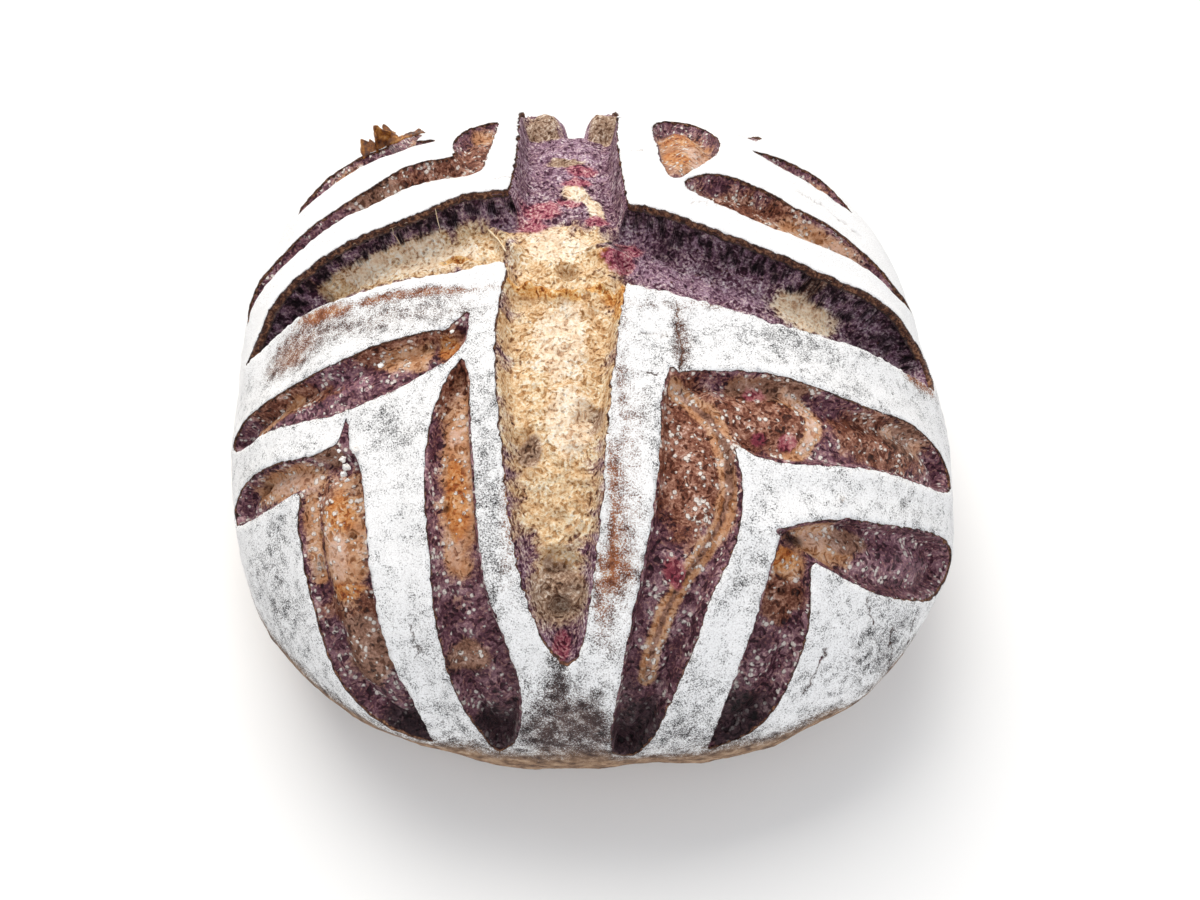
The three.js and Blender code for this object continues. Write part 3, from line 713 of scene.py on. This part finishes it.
# Baked crumb: torn crumb is dry and fibrous, with pale threads between its pores, and the skin in the narrow
# cuts is gelatinised, satin and full of pale blisters about a millimetre wide. Its colour also carries
# painted shade in the pores, hollows and cells, and painted highlight on the blisters
baked_crumb, tree, place = new_material("baked_sweet_potato_crumb")
read = {name: add(tree, "ShaderNodeAttribute", {}, attribute_name=name).outputs["Fac"]
        for name in list(TINTS) + ["torn"]}
fine = add(tree, "ShaderNodeTexNoise", {"Vector": place, "Scale": 1.3, "Detail": 6.0, "Roughness": 0.62})
broad = add(tree, "ShaderNodeTexNoise", {"Vector": place, "Scale": 0.2, "Detail": 4.0, "Roughness": 0.6})
threads = add(tree, "ShaderNodeTexNoise", {"Vector": place, "Scale": 0.55, "Detail": 4.0, "Roughness": 0.6,
                                           "Lacunarity": 2.1, "Offset": 0.9, "Gain": 1.6, "Distortion": 0.7},
              noise_type="RIDGED_MULTIFRACTAL", normalize=True)
pores = add(tree, "ShaderNodeTexVoronoi", {"Vector": place, "Scale": 0.5, "Randomness": 1.0})
blisters = add(tree, "ShaderNodeTexVoronoi", {"Vector": place, "Scale": 0.6, "Randomness": 1.0})

grain_share, broad_share, thread_share = [
    add(tree, "ShaderNodeMapRange", {"Value": pattern.outputs[0], "From Min": low, "From Max": high},
        interpolation_type="SMOOTHSTEP").outputs[0]
    for pattern, low, high in ((fine, 0.32, 0.68), (broad, 0.3, 0.7), (threads, 0.25, 0.75))]

# How light each place is, from 0 in a pore to 1 on a thread, and how much it blurs the marbling's edges
grain_weight = add(tree, "ShaderNodeMath", {0: read["torn"], 1: 0.16, 2: 0.26},
                   operation="MULTIPLY_ADD").outputs[0]
broad_weight = add(tree, "ShaderNodeMath", {0: read["torn"], 1: -0.16, 2: 0.4},
                   operation="MULTIPLY_ADD").outputs[0]
tone = 0.0
for share, weight in ((grain_share, grain_weight), (thread_share, 0.34), (broad_share, broad_weight)):
    tone = add(tree, "ShaderNodeMath", {0: share, 1: weight, 2: tone}, operation="MULTIPLY_ADD").outputs[0]
marbling = -0.13
for share, weight in ((grain_share, 0.26), (thread_share, 0.2)):
    marbling = add(tree, "ShaderNodeMath", {0: share, 1: weight, 2: marbling},
                   operation="MULTIPLY_ADD").outputs[0]

# The two doughs from their dark pores to their pale threads: purple first, then what marbles through it
PURPLE = [(0.12, "#260E1B"), (0.38, "#522D3E"), (0.58, "#765163"), (0.82, "#B497A5"), (0.95, "#E6D8DF")]
SHADES = {
    "lilac": [(0.12, "#35182A"), (0.36, "#664154"), (0.56, "#8A677A"), (0.8, "#BC9DAF"), (0.95, "#E8D8E0")],
    "brown": [(0.12, "#2E1309"), (0.36, "#5F3422"), (0.58, "#885842"), (0.82, "#C6A188"), (0.95, "#F4E8DC")],
    "golden": [(0.1, "#86572F"), (0.3, "#B98A59"), (0.52, "#D8AC7D"), (0.76, "#F2D8AE"), (0.92, "#FFF6E0")],
    "tan": [(0.12, "#3E281D"), (0.36, "#745440"), (0.56, "#9A7B64"), (0.8, "#C4AA94"), (0.95, "#EADCCB")],
    "cream": [(0.1, "#A07A5C"), (0.32, "#D8AF8C"), (0.55, "#F1D5B2"), (0.8, "#FFF1DA"), (0.95, "#FFFFF6")],
    "orange": [(0.12, "#6A310E"), (0.36, "#B0662C"), (0.58, "#DB9A50"), (0.82, "#F5D092"), (0.95, "#FFF1D6")],
    "magenta": [(0.12, "#380A1B"), (0.36, "#7A2A40"), (0.58, "#A55263"), (0.82, "#D69E9F"),
                (0.95, "#F3DDD2")],
}
colour = add(tree, "ShaderNodeValToRGB", {"Fac": tone}, PURPLE).outputs["Color"]
for name, stops in SHADES.items():
    share = add(tree, "ShaderNodeMath", {0: read[name], 1: marbling}, operation="ADD").outputs[0]
    share = add(tree, "ShaderNodeMapRange", {"Value": share, "From Min": 0.2, "From Max": 0.85},
                interpolation_type="SMOOTHSTEP").outputs[0]
    shade = add(tree, "ShaderNodeValToRGB", {"Fac": tone}, stops).outputs["Color"]
    colour = add(tree, "ShaderNodeMix", {"Factor": share, 6: colour, 7: shade}, data_type="RGBA").outputs[2]

# The skin of the narrow cuts is a little redder and darker than torn crumb
skin_tone = add(tree, "ShaderNodeMix",
                {"Factor": read["torn"], 6: linear("#E2C9C6"), 7: linear("#FFFFFF")},
                data_type="RGBA").outputs[2]
colour = add(tree, "ShaderNodeMix", {"Factor": 1.0, 6: colour, 7: skin_tone}, data_type="RGBA",
             blend_type="MULTIPLY").outputs[2]

# Painted shade in the small pores of the torn crumb, and pale blisters in crowds on the skin, their pale
# specks partly painted highlight
pore_size = add(tree, "ShaderNodeMath", {0: broad_share, 1: 0.26}, operation="MULTIPLY").outputs[0]
pore = add(tree, "ShaderNodeMath", {0: pores.outputs["Distance"], 1: pore_size},
           operation="LESS_THAN").outputs[0]
for share in (read["torn"], 0.5):
    pore = add(tree, "ShaderNodeMath", {0: pore, 1: share}, operation="MULTIPLY").outputs[0]
colour = add(tree, "ShaderNodeMix", {"Factor": pore, 6: colour, 7: linear("#6E4630")},
             data_type="RGBA").outputs[2]
# The pale specks on the skin's blisters are partly their paler colour and partly painted highlight
crowd = add(tree, "ShaderNodeMapRange",
            {"Value": broad.outputs[0], "From Min": 0.38, "From Max": 0.6, "To Min": 0.08, "To Max": 0.46},
            interpolation_type="SMOOTHSTEP").outputs[0]
blister = add(tree, "ShaderNodeMath", {0: crowd, 1: blisters.outputs["Distance"]},
              operation="SUBTRACT").outputs[0]
blister = add(tree, "ShaderNodeMapRange", {"Value": blister, "From Min": 0.0, "From Max": 0.14},
              interpolation_type="SMOOTHSTEP").outputs[0]
skin = add(tree, "ShaderNodeMath", {0: 0.92, 1: read["torn"]}, operation="SUBTRACT",
           use_clamp=True).outputs[0]
for share in (skin, thread_share):
    blister = add(tree, "ShaderNodeMath", {0: blister, 1: share}, operation="MULTIPLY").outputs[0]
colour = add(tree, "ShaderNodeMix", {"Factor": blister, 6: colour, 7: linear("#F2E8DE")},
             data_type="RGBA").outputs[2]

# Painted shade: little light reaches the hollows and the cells, so their colour is darkened
hollow_shade_share = add(tree, "ShaderNodeMath", {0: read["painted_shade"], 1: 0.96}, operation="MULTIPLY").outputs[0]
colour = add(tree, "ShaderNodeMix", {"Factor": hollow_shade_share, 6: colour, 7: linear("#2B0D24")},
             data_type="RGBA", blend_type="MULTIPLY").outputs[2]

height = blister
for share, weight in ((fine.outputs[0], 1.2), (thread_share, 0.6), (pore, -1.0)):
    height = add(tree, "ShaderNodeMath", {0: share, 1: weight, 2: height},
                 operation="MULTIPLY_ADD").outputs[0]
bump = add(tree, "ShaderNodeBump", {"Height": height, "Strength": 0.9, "Distance": 0.6 * MM})
gloss = add(tree, "ShaderNodeMapRange", {"Value": read["torn"], "To Min": 0.38, "To Max": 0.8})
surface = add(tree, "ShaderNodeBsdfPrincipled",
              {"Base Color": colour, "Roughness": gloss.outputs[0], "Normal": bump.outputs[0],
               "Specular IOR Level": 0.22})
add(tree, "ShaderNodeOutputMaterial", {"Surface": surface.outputs[0]})
crumb.data.materials.append(baked_crumb)
crumb_uv = uv
crumb_points = points

# The crust
# The outer skin of the dough, dried and browned in the oven and thickly dusted with rice flour. It
# runs over the whole loaf and its underside, and it is cut through at the slashes, where its torn
# edge stands up a little.
CRUST_RINGS = 100
CRUST_THICK = 2.2
THINNEST_EDGE = 1.2
EDGE_WANDER = 0.38
EDGE_TEAR = 2.3
EDGE_RAGGED = 0.8
EDGE_RAGGED_SIZE = 1.3
UNDERSIDE_ROWS = 9


def edge_distance(uv):
    """Distance from the nearest slash, with the small tears of a real edge."""
    near = near_slashes(uv)
    flat = laid_flat(uv)
    tear = EDGE_WANDER * (1 + 0.8 * near["torn"]) * lumps(flat, EDGE_TEAR, octaves=4, seed=21.0)
    return near["distance"] + tear


# Cracks in the crust: from, to, half width and depth, in millimetres
CRACKS = [
    ((24, -15), (23, -21), 0.18, 0.3),
    ((23, -21), (24.5, -27), 0.18, 0.3),
    ((24.5, -27), (22.8, -34), 0.2, 0.4),
    ((14.5, -22.5), (21, -22.6), 0.2, 0.3),
    ((15.5, -34), (19, -35), 0.3, 0.3),
    ((63, -98), (61, -112), 0.3, 0.4),
    ((66, 44), (76, 43), 0.2, 0.3),
    ((76, 43), (90, 37), 0.25, 0.4),
    ((72, -84), (76, -90), 0.2, 0.3),
    ((92, -86), (99, -98), 0.2, 0.3),
    ((84, -92), (92, -104), 0.2, 0.3),
    ((-42, -96), (-41, -103), 0.2, 0.2),
    ((-24, 33), (-17.5, 33.5), 0.15, 0.2),
    ((14, 50), (20, 52), 0.15, 0.2),
    ((30, 24), (38, 25), 0.15, 0.2),
]
CRACK_WANDER = 0.8


def read_cracks(uv):
    """Distance to the nearest crack, how far each place is in it (0 to 1), and the depth of its groove."""
    flat = laid_flat(uv)
    places = uv + CRACK_WANDER * np.column_stack((lumps(flat, 3.0, seed=31.0), lumps(flat, 3.0, seed=37.0)))
    nearest = np.full(len(uv), FAR)
    inside = np.zeros(len(uv))
    groove = np.zeros(len(uv))
    for start, end, half, sunk in CRACKS:
        gap = gap_to_line(places, [start, end])
        nearest = np.minimum(nearest, gap)
        inside = np.maximum(inside, 1 - smooth(gap / half, 0.2, 1.6))
        groove = np.maximum(groove, sunk * (1 - smooth(gap / half, 0.3, 2.6)))
    return nearest, inside, groove


# Beside the cracks and the slashes the sheet gets finer triangles
FINE_BY_CRACKS = (1.9, 1.2, 0.8)
FINE_BY_SLASHES = 2.4
bm = flat_sheet(CRUST_RINGS, RIM)
for width in FINE_BY_CRACKS:
    refine(bm, read_cracks(flat_places(bm))[0] < width)
refine(bm, np.abs(near_slashes(flat_places(bm))["distance"]) < FINE_BY_SLASHES)
bm.verts.ensure_lookup_table()

# The torn edge: where a side of a triangle crosses it, the end that lies nearer is moved onto it, and
# then the triangles inside the slash are taken out
EDGE_STEP = 0.25
EDGE_ROUNDS = 3
uv = flat_places(bm)
distance = edge_distance(uv)
ends = np.array([(e.verts[0].index, e.verts[1].index) for e in bm.edges])
crossing = ends[distance[ends[:, 0]] * distance[ends[:, 1]] < 0]
nearer = np.abs(distance[crossing]).argmin(1)
misses = np.abs(distance[crossing])[np.arange(len(crossing)), nearer]
on_edge = np.zeros(len(uv), bool)
for k in np.argsort(misses):
    a, b = crossing[k]
    if not (on_edge[a] or on_edge[b]):
        on_edge[crossing[k][nearer[k]]] = True
movers = np.where(on_edge)[0]
moving = uv[movers]
for turn in range(EDGE_ROUNDS):
    miss = edge_distance(moving)
    rises = [edge_distance(moving + step) - edge_distance(moving - step)
             for step in ((EDGE_STEP, 0), (0, EDGE_STEP))]
    slope = np.column_stack(rises) / (2 * EDGE_STEP)
    steep = np.maximum((slope ** 2).sum(1), 0.25)
    moving = moving - (miss / steep)[:, None] * slope
uv[movers] = moving
distance[movers] = 0.0
for v, spot in zip(bm.verts, uv):
    v.co = (spot[0], spot[1], 0)
opened = [f for f in bm.faces if all(distance[v.index] <= 0 for v in f.verts)]
bmesh.ops.delete(bm, geom=opened, context="FACES")

# The underside: the outer ring is drawn in row by row to the middle
outer = [e for e in bm.edges if e.is_boundary and min(v.co.length for v in e.verts) > RIM - 0.01]
for row in range(UNDERSIDE_ROWS):
    extruded = bmesh.ops.extrude_edge_only(bm, edges=outer)["geom"]
    outer = [g for g in extruded if isinstance(g, bmesh.types.BMEdge)]
    walked = RIM + (WALKED[-1] - RIM) * (row + 1) / UNDERSIDE_ROWS
    for g in extruded:
        if isinstance(g, bmesh.types.BMVert):
            g.co *= walked / g.co.length
bmesh.ops.triangulate(bm, faces=bm.faces)
bm.normal_update()
bmesh.ops.reverse_faces(bm, faces=[f for f in bm.faces if f.normal.z < 0])

# The sheet gets its thickness: a second layer below it, and torn walls between them at the slashes
bmesh.ops.solidify(bm, geom=bm.faces, thickness=1.0)
walls = [e for e in bm.edges if abs(e.verts[0].co.z - e.verts[1].co.z) > 0.5]
bmesh.ops.subdivide_edges(bm, edges=walls, cuts=2, use_grid_fill=True)
bmesh.ops.triangulate(bm, faces=bm.faces)
bm.verts.index_update()
laid = np.array([tuple(v.co) for v in bm.verts])
below = np.abs(laid[:, 2])
uv = laid[:, :2]
near = near_slashes(uv)
walked = np.hypot(uv[:, 0], uv[:, 1])
flat = laid_flat(uv)
fade = smooth(RIM - walked, FADE_START, FADE_END)

crack, groove = read_cracks(uv)[1:]

# The crust's own relief, in millimetres: broad and small dimples, and wrinkles that run across the loaf.
# Each has its height and its size
BROAD_DIMPLES = (0.34, 13.0)
SMALL_DIMPLES = (0.16, 4.2)
WRINKLES = (0.12, 5.0)
PRESSED = (0.25, 9.0)
dimples = BROAD_DIMPLES[0] * (lumps(flat, BROAD_DIMPLES[1], seed=41.0) - 0.6)
dimples += SMALL_DIMPLES[0] * (lumps(flat, SMALL_DIMPLES[1], seed=43.0) - 0.5)
wrinkle = WRINKLES[0] * (lumps(flat * (1, 2.4, 1), WRINKLES[1], seed=47.0) - 0.5)
stand = (swelling(uv) + near["lift"]) * fade + dimples * smooth(RIM - walked, 0, 14) + wrinkle - groove
thick = np.where(near["distance"] < REACH, np.maximum(near["edge"], THINNEST_EDGE), CRUST_THICK)
thick = np.where(walked > RIM - 12, CRUST_THICK, thick)
edge_wall = (below > 0.05) & (below < 0.95)
tear = np.clip(lumps(np.column_stack((uv, below * 3)), EDGE_RAGGED_SIZE, seed=51.0), -0.6, 0.6)
torn_edge = np.where(edge_wall, EDGE_RAGGED * tear, 0)
pushed = uv + near["outward"] * (torn_edge * (near["distance"] < 1))[:, None]
points = dome(pushed) + dome_normal(pushed) * (stand - below * thick)[:, None]
points[:, 2] = np.maximum(points[:, 2], 0)
under = walked > RIM
pressed = PRESSED[0] * (1 + lumps(points[under] * (1, 1, 0), PRESSED[1], seed=53.0))
points[under, 2] = below[under] * CRUST_THICK + pressed * smooth(walked[under], RIM, RIM + 12)
crust = new_object("crust", bm)
put_in_place(crust, points)

# Where the flour lies thinner: place, half sizes, how much thinner, and how red-brown the crust is there
BARE = [
    (8.6, -76, 2.2, 20, 0.13, 1), (7.4, -60, 1.4, 9, 0.08, 1), (5.2, -90, 1.6, 12, 0.11, 1),
    (11, -84, 3.4, 5, 0.07, 1), (9.5, -40, 1.2, 12, 0.07, 0.7), (-50, -8.4, 30, 2.0, 0.17, 1),
    (-76, -9.0, 14, 3.0, 0.17, 1), (-62, -14, 34, 7, 0.085, 0.35), (-88, -16, 14, 8, 0.11, 0.7),
    (-17.5, -30, 1.4, 16, 0.07, 1), (11.5, -62, 3.4, 30, 0.045, 1), (10, -20, 2.4, 14, 0.05, 0.6),
    (-17, -62, 1.5, 24, 0.08, 1), (34, -14.5, 26, 1.2, 0.06, 1), (104, -21, 10, 2, 0.1, 1),
    (24, -24, 2.4, 11, 0.08, 0.4), (-6, -113, 3.4, 9, 0.11, 0), (-2, -130, 15, 17, 0.13, 0.1),
    (0, -132, 62, 14, 0.05, 0), (84, -96, 16, 14, 0.05, 0), (-88, -82, 12, 16, 0.04, 0),
    (16, -48, 5, 12, 0.03, 0), (-22, -72, 5, 40, 0.03, 0), (44, 50, 8, 6, 0.09, 1),
    (-66, -30, 30, 3, 0.03, 0), (-15.5, 40, 1.4, 10, 0.08, 1), (13.4, 46, 1.4, 9, 0.08, 1),
    (-45, -50, 6, 5, 0.04, 0), (62, -22, 22, 4, 0.03, 0), (-40, -15, 24, 4, 0.03, 0),
]
BARE_WANDER = 0.25

# How thick the flour lies at the back, how much less of it there is on the front and low down, and how far
# above the rim it thins out and ends. The thinning on the front is partly patchier flour and partly painted
# shade, since that side faces away from the window
FLOUR_THINS = (58, 38)
FLOUR_ENDS = (42, 26)
FLOUR_BACK = 0.97
FRONT_THINNER_FLOUR_AND_SHADE = 0.142
LOW_FRONT_THINNER_FLOUR_AND_SHADE = 0.01
FLOUR_LESS_SIDES = 0.24
FLOUR_LESS_CRACKS = 0.1
# Less flour towards the front and the lower front, so more grey crust shows there: partly patchier flour,
# partly painted shade
flour = FLOUR_BACK - FRONT_THINNER_FLOUR_AND_SHADE * smooth(-uv[:, 1], -12, 20)
flour -= LOW_FRONT_THINNER_FLOUR_AND_SHADE * smooth(-uv[:, 1], 60, 120)
thin = np.zeros(len(uv))
rust = np.zeros(len(uv))
bare_warp = BARE_WANDER * lumps(flat, 3.0, seed=59.0)
for *patch, amount, red in BARE:
    part_bare = 1 - smooth(gap_to_patch(uv, *patch) + bare_warp, 0.3, 1.5)
    thin = np.maximum(thin, amount * part_bare)
    rust = np.maximum(rust, red * np.sqrt(part_bare))
flour -= thin + FLOUR_LESS_SIDES * smooth(walked, RIM - FLOUR_THINS[0], RIM - FLOUR_THINS[1])
flour *= 1 - FLOUR_LESS_CRACKS * crack
flour *= 1 - smooth(walked, RIM - FLOUR_ENDS[0], RIM - FLOUR_ENDS[1])
low = smooth(walked + 3 * lumps(flat, 9.0, seed=57.0), RIM - 60, RIM - 44)
flour *= 1 - smooth(below, 0.02, 0.3)
edge = smooth(below, 0.0, 0.4) * (1 - smooth(below, 0.99, 1.0))
crust_values = {"flour": flour, "rust": rust, "crack": crack, "low": low, "edge": edge}
for name, values in crust_values.items():
    set_attribute(crust.data, name, values)

# Doubles where the edge closed up are merged, and the faces turned outwards
bm = bmesh.new()
bm.from_mesh(crust.data)
bmesh.ops.remove_doubles(bm, verts=bm.verts, dist=0.002 * MM)
bmesh.ops.delete(bm, geom=[e for e in bm.edges if not e.link_faces], context="EDGES")
bmesh.ops.recalc_face_normals(bm, faces=bm.faces)
bm.to_mesh(crust.data)
bm.free()
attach(crust, "root")
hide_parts("loaf")

# Baked crust under rice flour: hard and brown, the flour a dry white powder in grains and clumps
floured_crust, tree, place = new_material("floured_crust")
grit, clumps, drift, tears = [
    add(tree, "ShaderNodeTexNoise",
        {"Vector": place, "Scale": scale, "Detail": detail, "Roughness": rough}).outputs[0]
    for scale, detail, rough in ((2.7, 4.0, 0.75), (0.32, 6.0, 0.65), (0.07, 3.0, 0.5), (0.9, 4.0, 0.7))]
read = {name: add(tree, "ShaderNodeAttribute", {}, attribute_name=name).outputs["Fac"]
        for name in crust_values}
cover = read["flour"]
for pattern, weight in ((grit, 0.56), (clumps, 0.3), (drift, 0.14)):
    cover = add(tree, "ShaderNodeMath", {0: pattern, 1: weight, 2: cover},
                operation="MULTIPLY_ADD").outputs[0]
lying = add(tree, "ShaderNodeMapRange", {"Value": cover, "From Min": 1.2, "From Max": 1.31},
            interpolation_type="SMOOTHSTEP").outputs[0]

# The crust under the flour: grey-black on top, red-brown where it tore thin, paler brown at the foot, and
# dark brown in the torn edge
BROWNS = [
    ("rust", clumps, [(0.35, "#5E2D15"), (0.5, "#9C5A30"), (0.65, "#C68F5E")]),
    ("low", clumps, [(0.35, "#4A2F22"), (0.5, "#8A6A4E"), (0.65, "#B6977A")]),
    ("edge", tears, [(0.36, "#1E0C07"), (0.5, "#5A3322"), (0.64, "#A87A5A")]),
]
colour = add(tree, "ShaderNodeValToRGB", {"Fac": clumps},
             [(0.35, "#171114"), (0.5, "#3F3536"), (0.65, "#7C706C")]).outputs["Color"]
for name, pattern, stops in BROWNS:
    shade = add(tree, "ShaderNodeValToRGB", {"Fac": pattern}, stops).outputs["Color"]
    colour = add(tree, "ShaderNodeMix", {"Factor": read[name], 6: colour, 7: shade},
                 data_type="RGBA").outputs[2]
white = add(tree, "ShaderNodeValToRGB", {"Fac": grit},
            [(0.3, "#CFCBCA"), (0.47, "#EFEDEB"), (0.6, "#FBFAF9")]).outputs["Color"]
colour = add(tree, "ShaderNodeMix", {"Factor": lying, 6: colour, 7: white}, data_type="RGBA").outputs[2]
crack_share = add(tree, "ShaderNodeMath", {0: read["crack"], 1: 0.4}, operation="MULTIPLY").outputs[0]
colour = add(tree, "ShaderNodeMix", {"Factor": crack_share, 6: colour, 7: linear("#6B4E3F")},
             data_type="RGBA").outputs[2]
height = add(tree, "ShaderNodeMath", {0: lying, 1: 0.7, 2: grit}, operation="MULTIPLY_ADD")
bump = add(tree, "ShaderNodeBump", {"Height": height.outputs[0], "Strength": 0.7, "Distance": 0.35 * MM})
surface = add(tree, "ShaderNodeBsdfPrincipled",
              {"Base Color": colour, "Roughness": 0.9, "Normal": bump.outputs[0]})
add(tree, "ShaderNodeOutputMaterial", {"Surface": surface.outputs[0]})
crust.data.materials.append(floured_crust)

# The torn skin
# Thin flakes of crust that tore loose beside the outer cut at the back left, and stand up from its
# edge. They are the baked outer skin alone, so they are brown and brittle.

# Each flake: u, v, the way it runs, half its length, its height, its lean and its curl
FLAKES = [
    (-67.5, 68.5, 30, 3.6, 4.6, 1.0, 1.4),
    (-64.0, 71.0, 50, 3.4, 6.4, -1.6, -1.6),
    (-61.5, 72.0, 15, 3.0, 6.0, 2.4, 1.2),
    (-56.5, 75.5, 12, 5.2, 1.6, 2.0, 0.6),
]
SKIN_THICK = 0.35
SKIN_BUCKLE = 0.25

bm = bmesh.new()
flake_points = []
for number, (u, v, turn, half, tall, lean, curl) in enumerate(FLAKES):
    grid = bmesh.ops.create_grid(bm, x_segments=14, y_segments=12, size=1)["verts"]
    run = np.array((math.cos(math.radians(turn)), math.sin(math.radians(turn))))
    out = np.array((-run[1], run[0]))
    along = np.array([corner.co.x for corner in grid])
    up = np.array([(corner.co.y + 1) / 2 for corner in grid])
    rim = np.column_stack((along, np.full(len(along), number), np.zeros(len(along))))
    ragged = 1 + 0.4 * lumps(rim, 0.8, octaves=2, seed=61.0) - 0.35 * along ** 2
    at = np.array((u, v)) + (along * half * (1 - 0.3 * up))[:, None] * run
    at = at + (lean * up ** 2 + curl * along ** 2 * up)[:, None] * out
    flake_points.append(dome(at) + dome_normal(at) * (tall * up * ragged - 0.5)[:, None])
flake_points = np.vstack(flake_points)
buckle = np.column_stack([lumps(flake_points, 2.0, seed=63.0 + axis) for axis in range(3)])
flake_points += SKIN_BUCKLE * buckle
for corner, point in zip(bm.verts, flake_points):
    corner.co = point
bm.normal_update()
bmesh.ops.solidify(bm, geom=bm.faces, thickness=SKIN_THICK)
bmesh.ops.triangulate(bm, faces=bm.faces)
bmesh.ops.recalc_face_normals(bm, faces=bm.faces)
flake_points = np.array([tuple(corner.co) for corner in bm.verts])
flakes = new_object("torn_skin", bm)
put_in_place(flakes, flake_points)
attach(flakes, "root")
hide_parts("loaf")

# Thin baked skin: amber to dark brown, glossier than the floured crust
baked_skin, tree, place = new_material("baked_dough_skin")
mottle = add(tree, "ShaderNodeTexNoise", {"Vector": place, "Scale": 0.45, "Detail": 5.0, "Roughness": 0.65})
colour = add(tree, "ShaderNodeValToRGB", {"Fac": mottle.outputs[0]},
             [(0.34, "#3A1B0A"), (0.48, "#7C4718"), (0.6, "#B2752F"), (0.72, "#D9B27A")]).outputs["Color"]
surface = add(tree, "ShaderNodeBsdfPrincipled", {"Base Color": colour, "Roughness": 0.45})
add(tree, "ShaderNodeOutputMaterial", {"Surface": surface.outputs[0]})
flakes.data.materials.append(baked_skin)

# The strands
# Threads of gluten that stretched across the torn crumb as the slashes opened, and dried in the oven.
# They hang between two places on the crumb, a little slack.

# Each strand: its ends (u, v) and how far these stand off the crumb there, and its half thickness
STRANDS = [
    ((-39.9, 22.4), 0.6, (-40.6, 19.4), 0.3, 0.13),
    ((-38.8, 20.0), 0.2, (-39.9, 17.6), 0.3, 0.11),
    ((-54.2, 19.4), 0.3, (-55.0, 17.2), 0.3, 0.11),
    ((-26.5, 21.0), 1.0, (-20.5, 9.5), 1.2, 0.3),
    ((8.6, -70.0), 0.6, (3.0, -76.0), 0.3, 0.12),
    ((7.4, -78.0), 0.6, (1.2, -81.0), 0.3, 0.1),
    ((79.0, 2.0), 0.4, (80.5, -2.0), 0.3, 0.12),
]
STRAND_SLACK = 0.45

bm = bmesh.new()
for first, first_off, last, last_off, thick in STRANDS:
    ends = []
    for at, off in ((first, first_off), (last, last_off)):
        nearest = np.hypot(*(crumb_uv - at).T).argmin()
        ends.append(Vector(crumb_points[nearest] + off * dome_normal(np.array([at]))[0]))
    run = ends[1] - ends[0]
    placed = Matrix.Translation((ends[0] + ends[1]) / 2) @ run.to_track_quat("Z", "Y").to_matrix().to_4x4()
    bmesh.ops.create_cone(bm, cap_ends=True, cap_tris=True, segments=6, radius1=thick, radius2=0.7 * thick,
                          depth=run.length, matrix=placed)
bmesh.ops.subdivide_edges(bm, edges=[e for e in bm.edges if e.calc_length() > 1.5], cuts=7)
bmesh.ops.triangulate(bm, faces=bm.faces)
strand_points = np.array([tuple(corner.co) for corner in bm.verts])
slack = np.column_stack([lumps(strand_points, 2.5, seed=67.0 + axis) for axis in range(3)])
strand_points += STRAND_SLACK * slack
strands = new_object("gluten_strands", bm)
put_in_place(strands, strand_points)
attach(strands, "root")
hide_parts("loaf")

# Dried gluten: pale gold and satin. The thinnest are drawn as thick as they need to be to show
dried_gluten, tree, place = new_material("dried_gluten")
shade = add(tree, "ShaderNodeTexNoise", {"Vector": place, "Scale": 0.8, "Detail": 2.0})
colour = add(tree, "ShaderNodeValToRGB", {"Fac": shade.outputs[0]}, [(0.35, "#D9B98C"), (0.65, "#F6E6C8")])
surface = add(tree, "ShaderNodeBsdfPrincipled", {"Base Color": colour.outputs["Color"], "Roughness": 0.5})
add(tree, "ShaderNodeOutputMaterial", {"Surface": surface.outputs[0]})
strands.data.materials.append(dried_gluten)

# The flour lumps
# A few crumbs of rice flour that clotted on the damp dough. Most hang at the edge of the small nick at
# the left, and a few lie on the crust.

# Each lump: u, v, half width, and how high it sits on the crust
FLOUR_LUMPS = [
    (-59.2, -53.9, 0.7, 0.3), (-58.0, -55.8, 0.9, 0.2), (-55.8, -51.8, 0.6, 0.3), (-58.9, -57.3, 0.8, 0.0),
    (-57.6, -59.0, 0.5, 0.0), (-61.0, -51.6, 0.4, 0.2), (-29.0, 30.5, 0.5, 0.3), (-33.0, -22.6, 0.5, 0.4),
    (62.5, -61.0, 0.6, 0.4), (-52.0, -30.5, 0.5, 0.4),
]
LUMP_UNEVEN = 0.5

bm = bmesh.new()
for u, v, half, high in FLOUR_LUMPS:
    at = np.array([(u, v)])
    middle = dome(at)[0] + high * dome_normal(at)[0]
    bmesh.ops.create_icosphere(bm, subdivisions=3, radius=half, matrix=Matrix.Translation(middle))
lump_points = np.array([tuple(corner.co) for corner in bm.verts])
uneven = np.column_stack([lumps(lump_points, 1.1, seed=71.0 + axis) for axis in range(3)])
lump_points += LUMP_UNEVEN * uneven
clots = new_object("flour_lumps", bm)
put_in_place(clots, lump_points)
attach(clots, "root")
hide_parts("loaf")

# Clotted rice flour: chalky and dry, off-white where it caught the heat
rice_flour, tree, place = new_material("clotted_rice_flour")
shade = add(tree, "ShaderNodeTexNoise", {"Vector": place, "Scale": 1.8, "Detail": 4.0, "Roughness": 0.7})
colour = add(tree, "ShaderNodeValToRGB", {"Fac": shade.outputs[0]}, [(0.35, "#B9A99C"), (0.5, "#F2EFEB")])
bump = add(tree, "ShaderNodeBump", {"Height": shade.outputs[0], "Strength": 0.6, "Distance": 0.2 * MM})
surface = add(tree, "ShaderNodeBsdfPrincipled",
              {"Base Color": colour.outputs["Color"], "Roughness": 0.95, "Normal": bump.outputs[0]})
add(tree, "ShaderNodeOutputMaterial", {"Surface": surface.outputs[0]})
clots.data.materials.append(rice_flour)
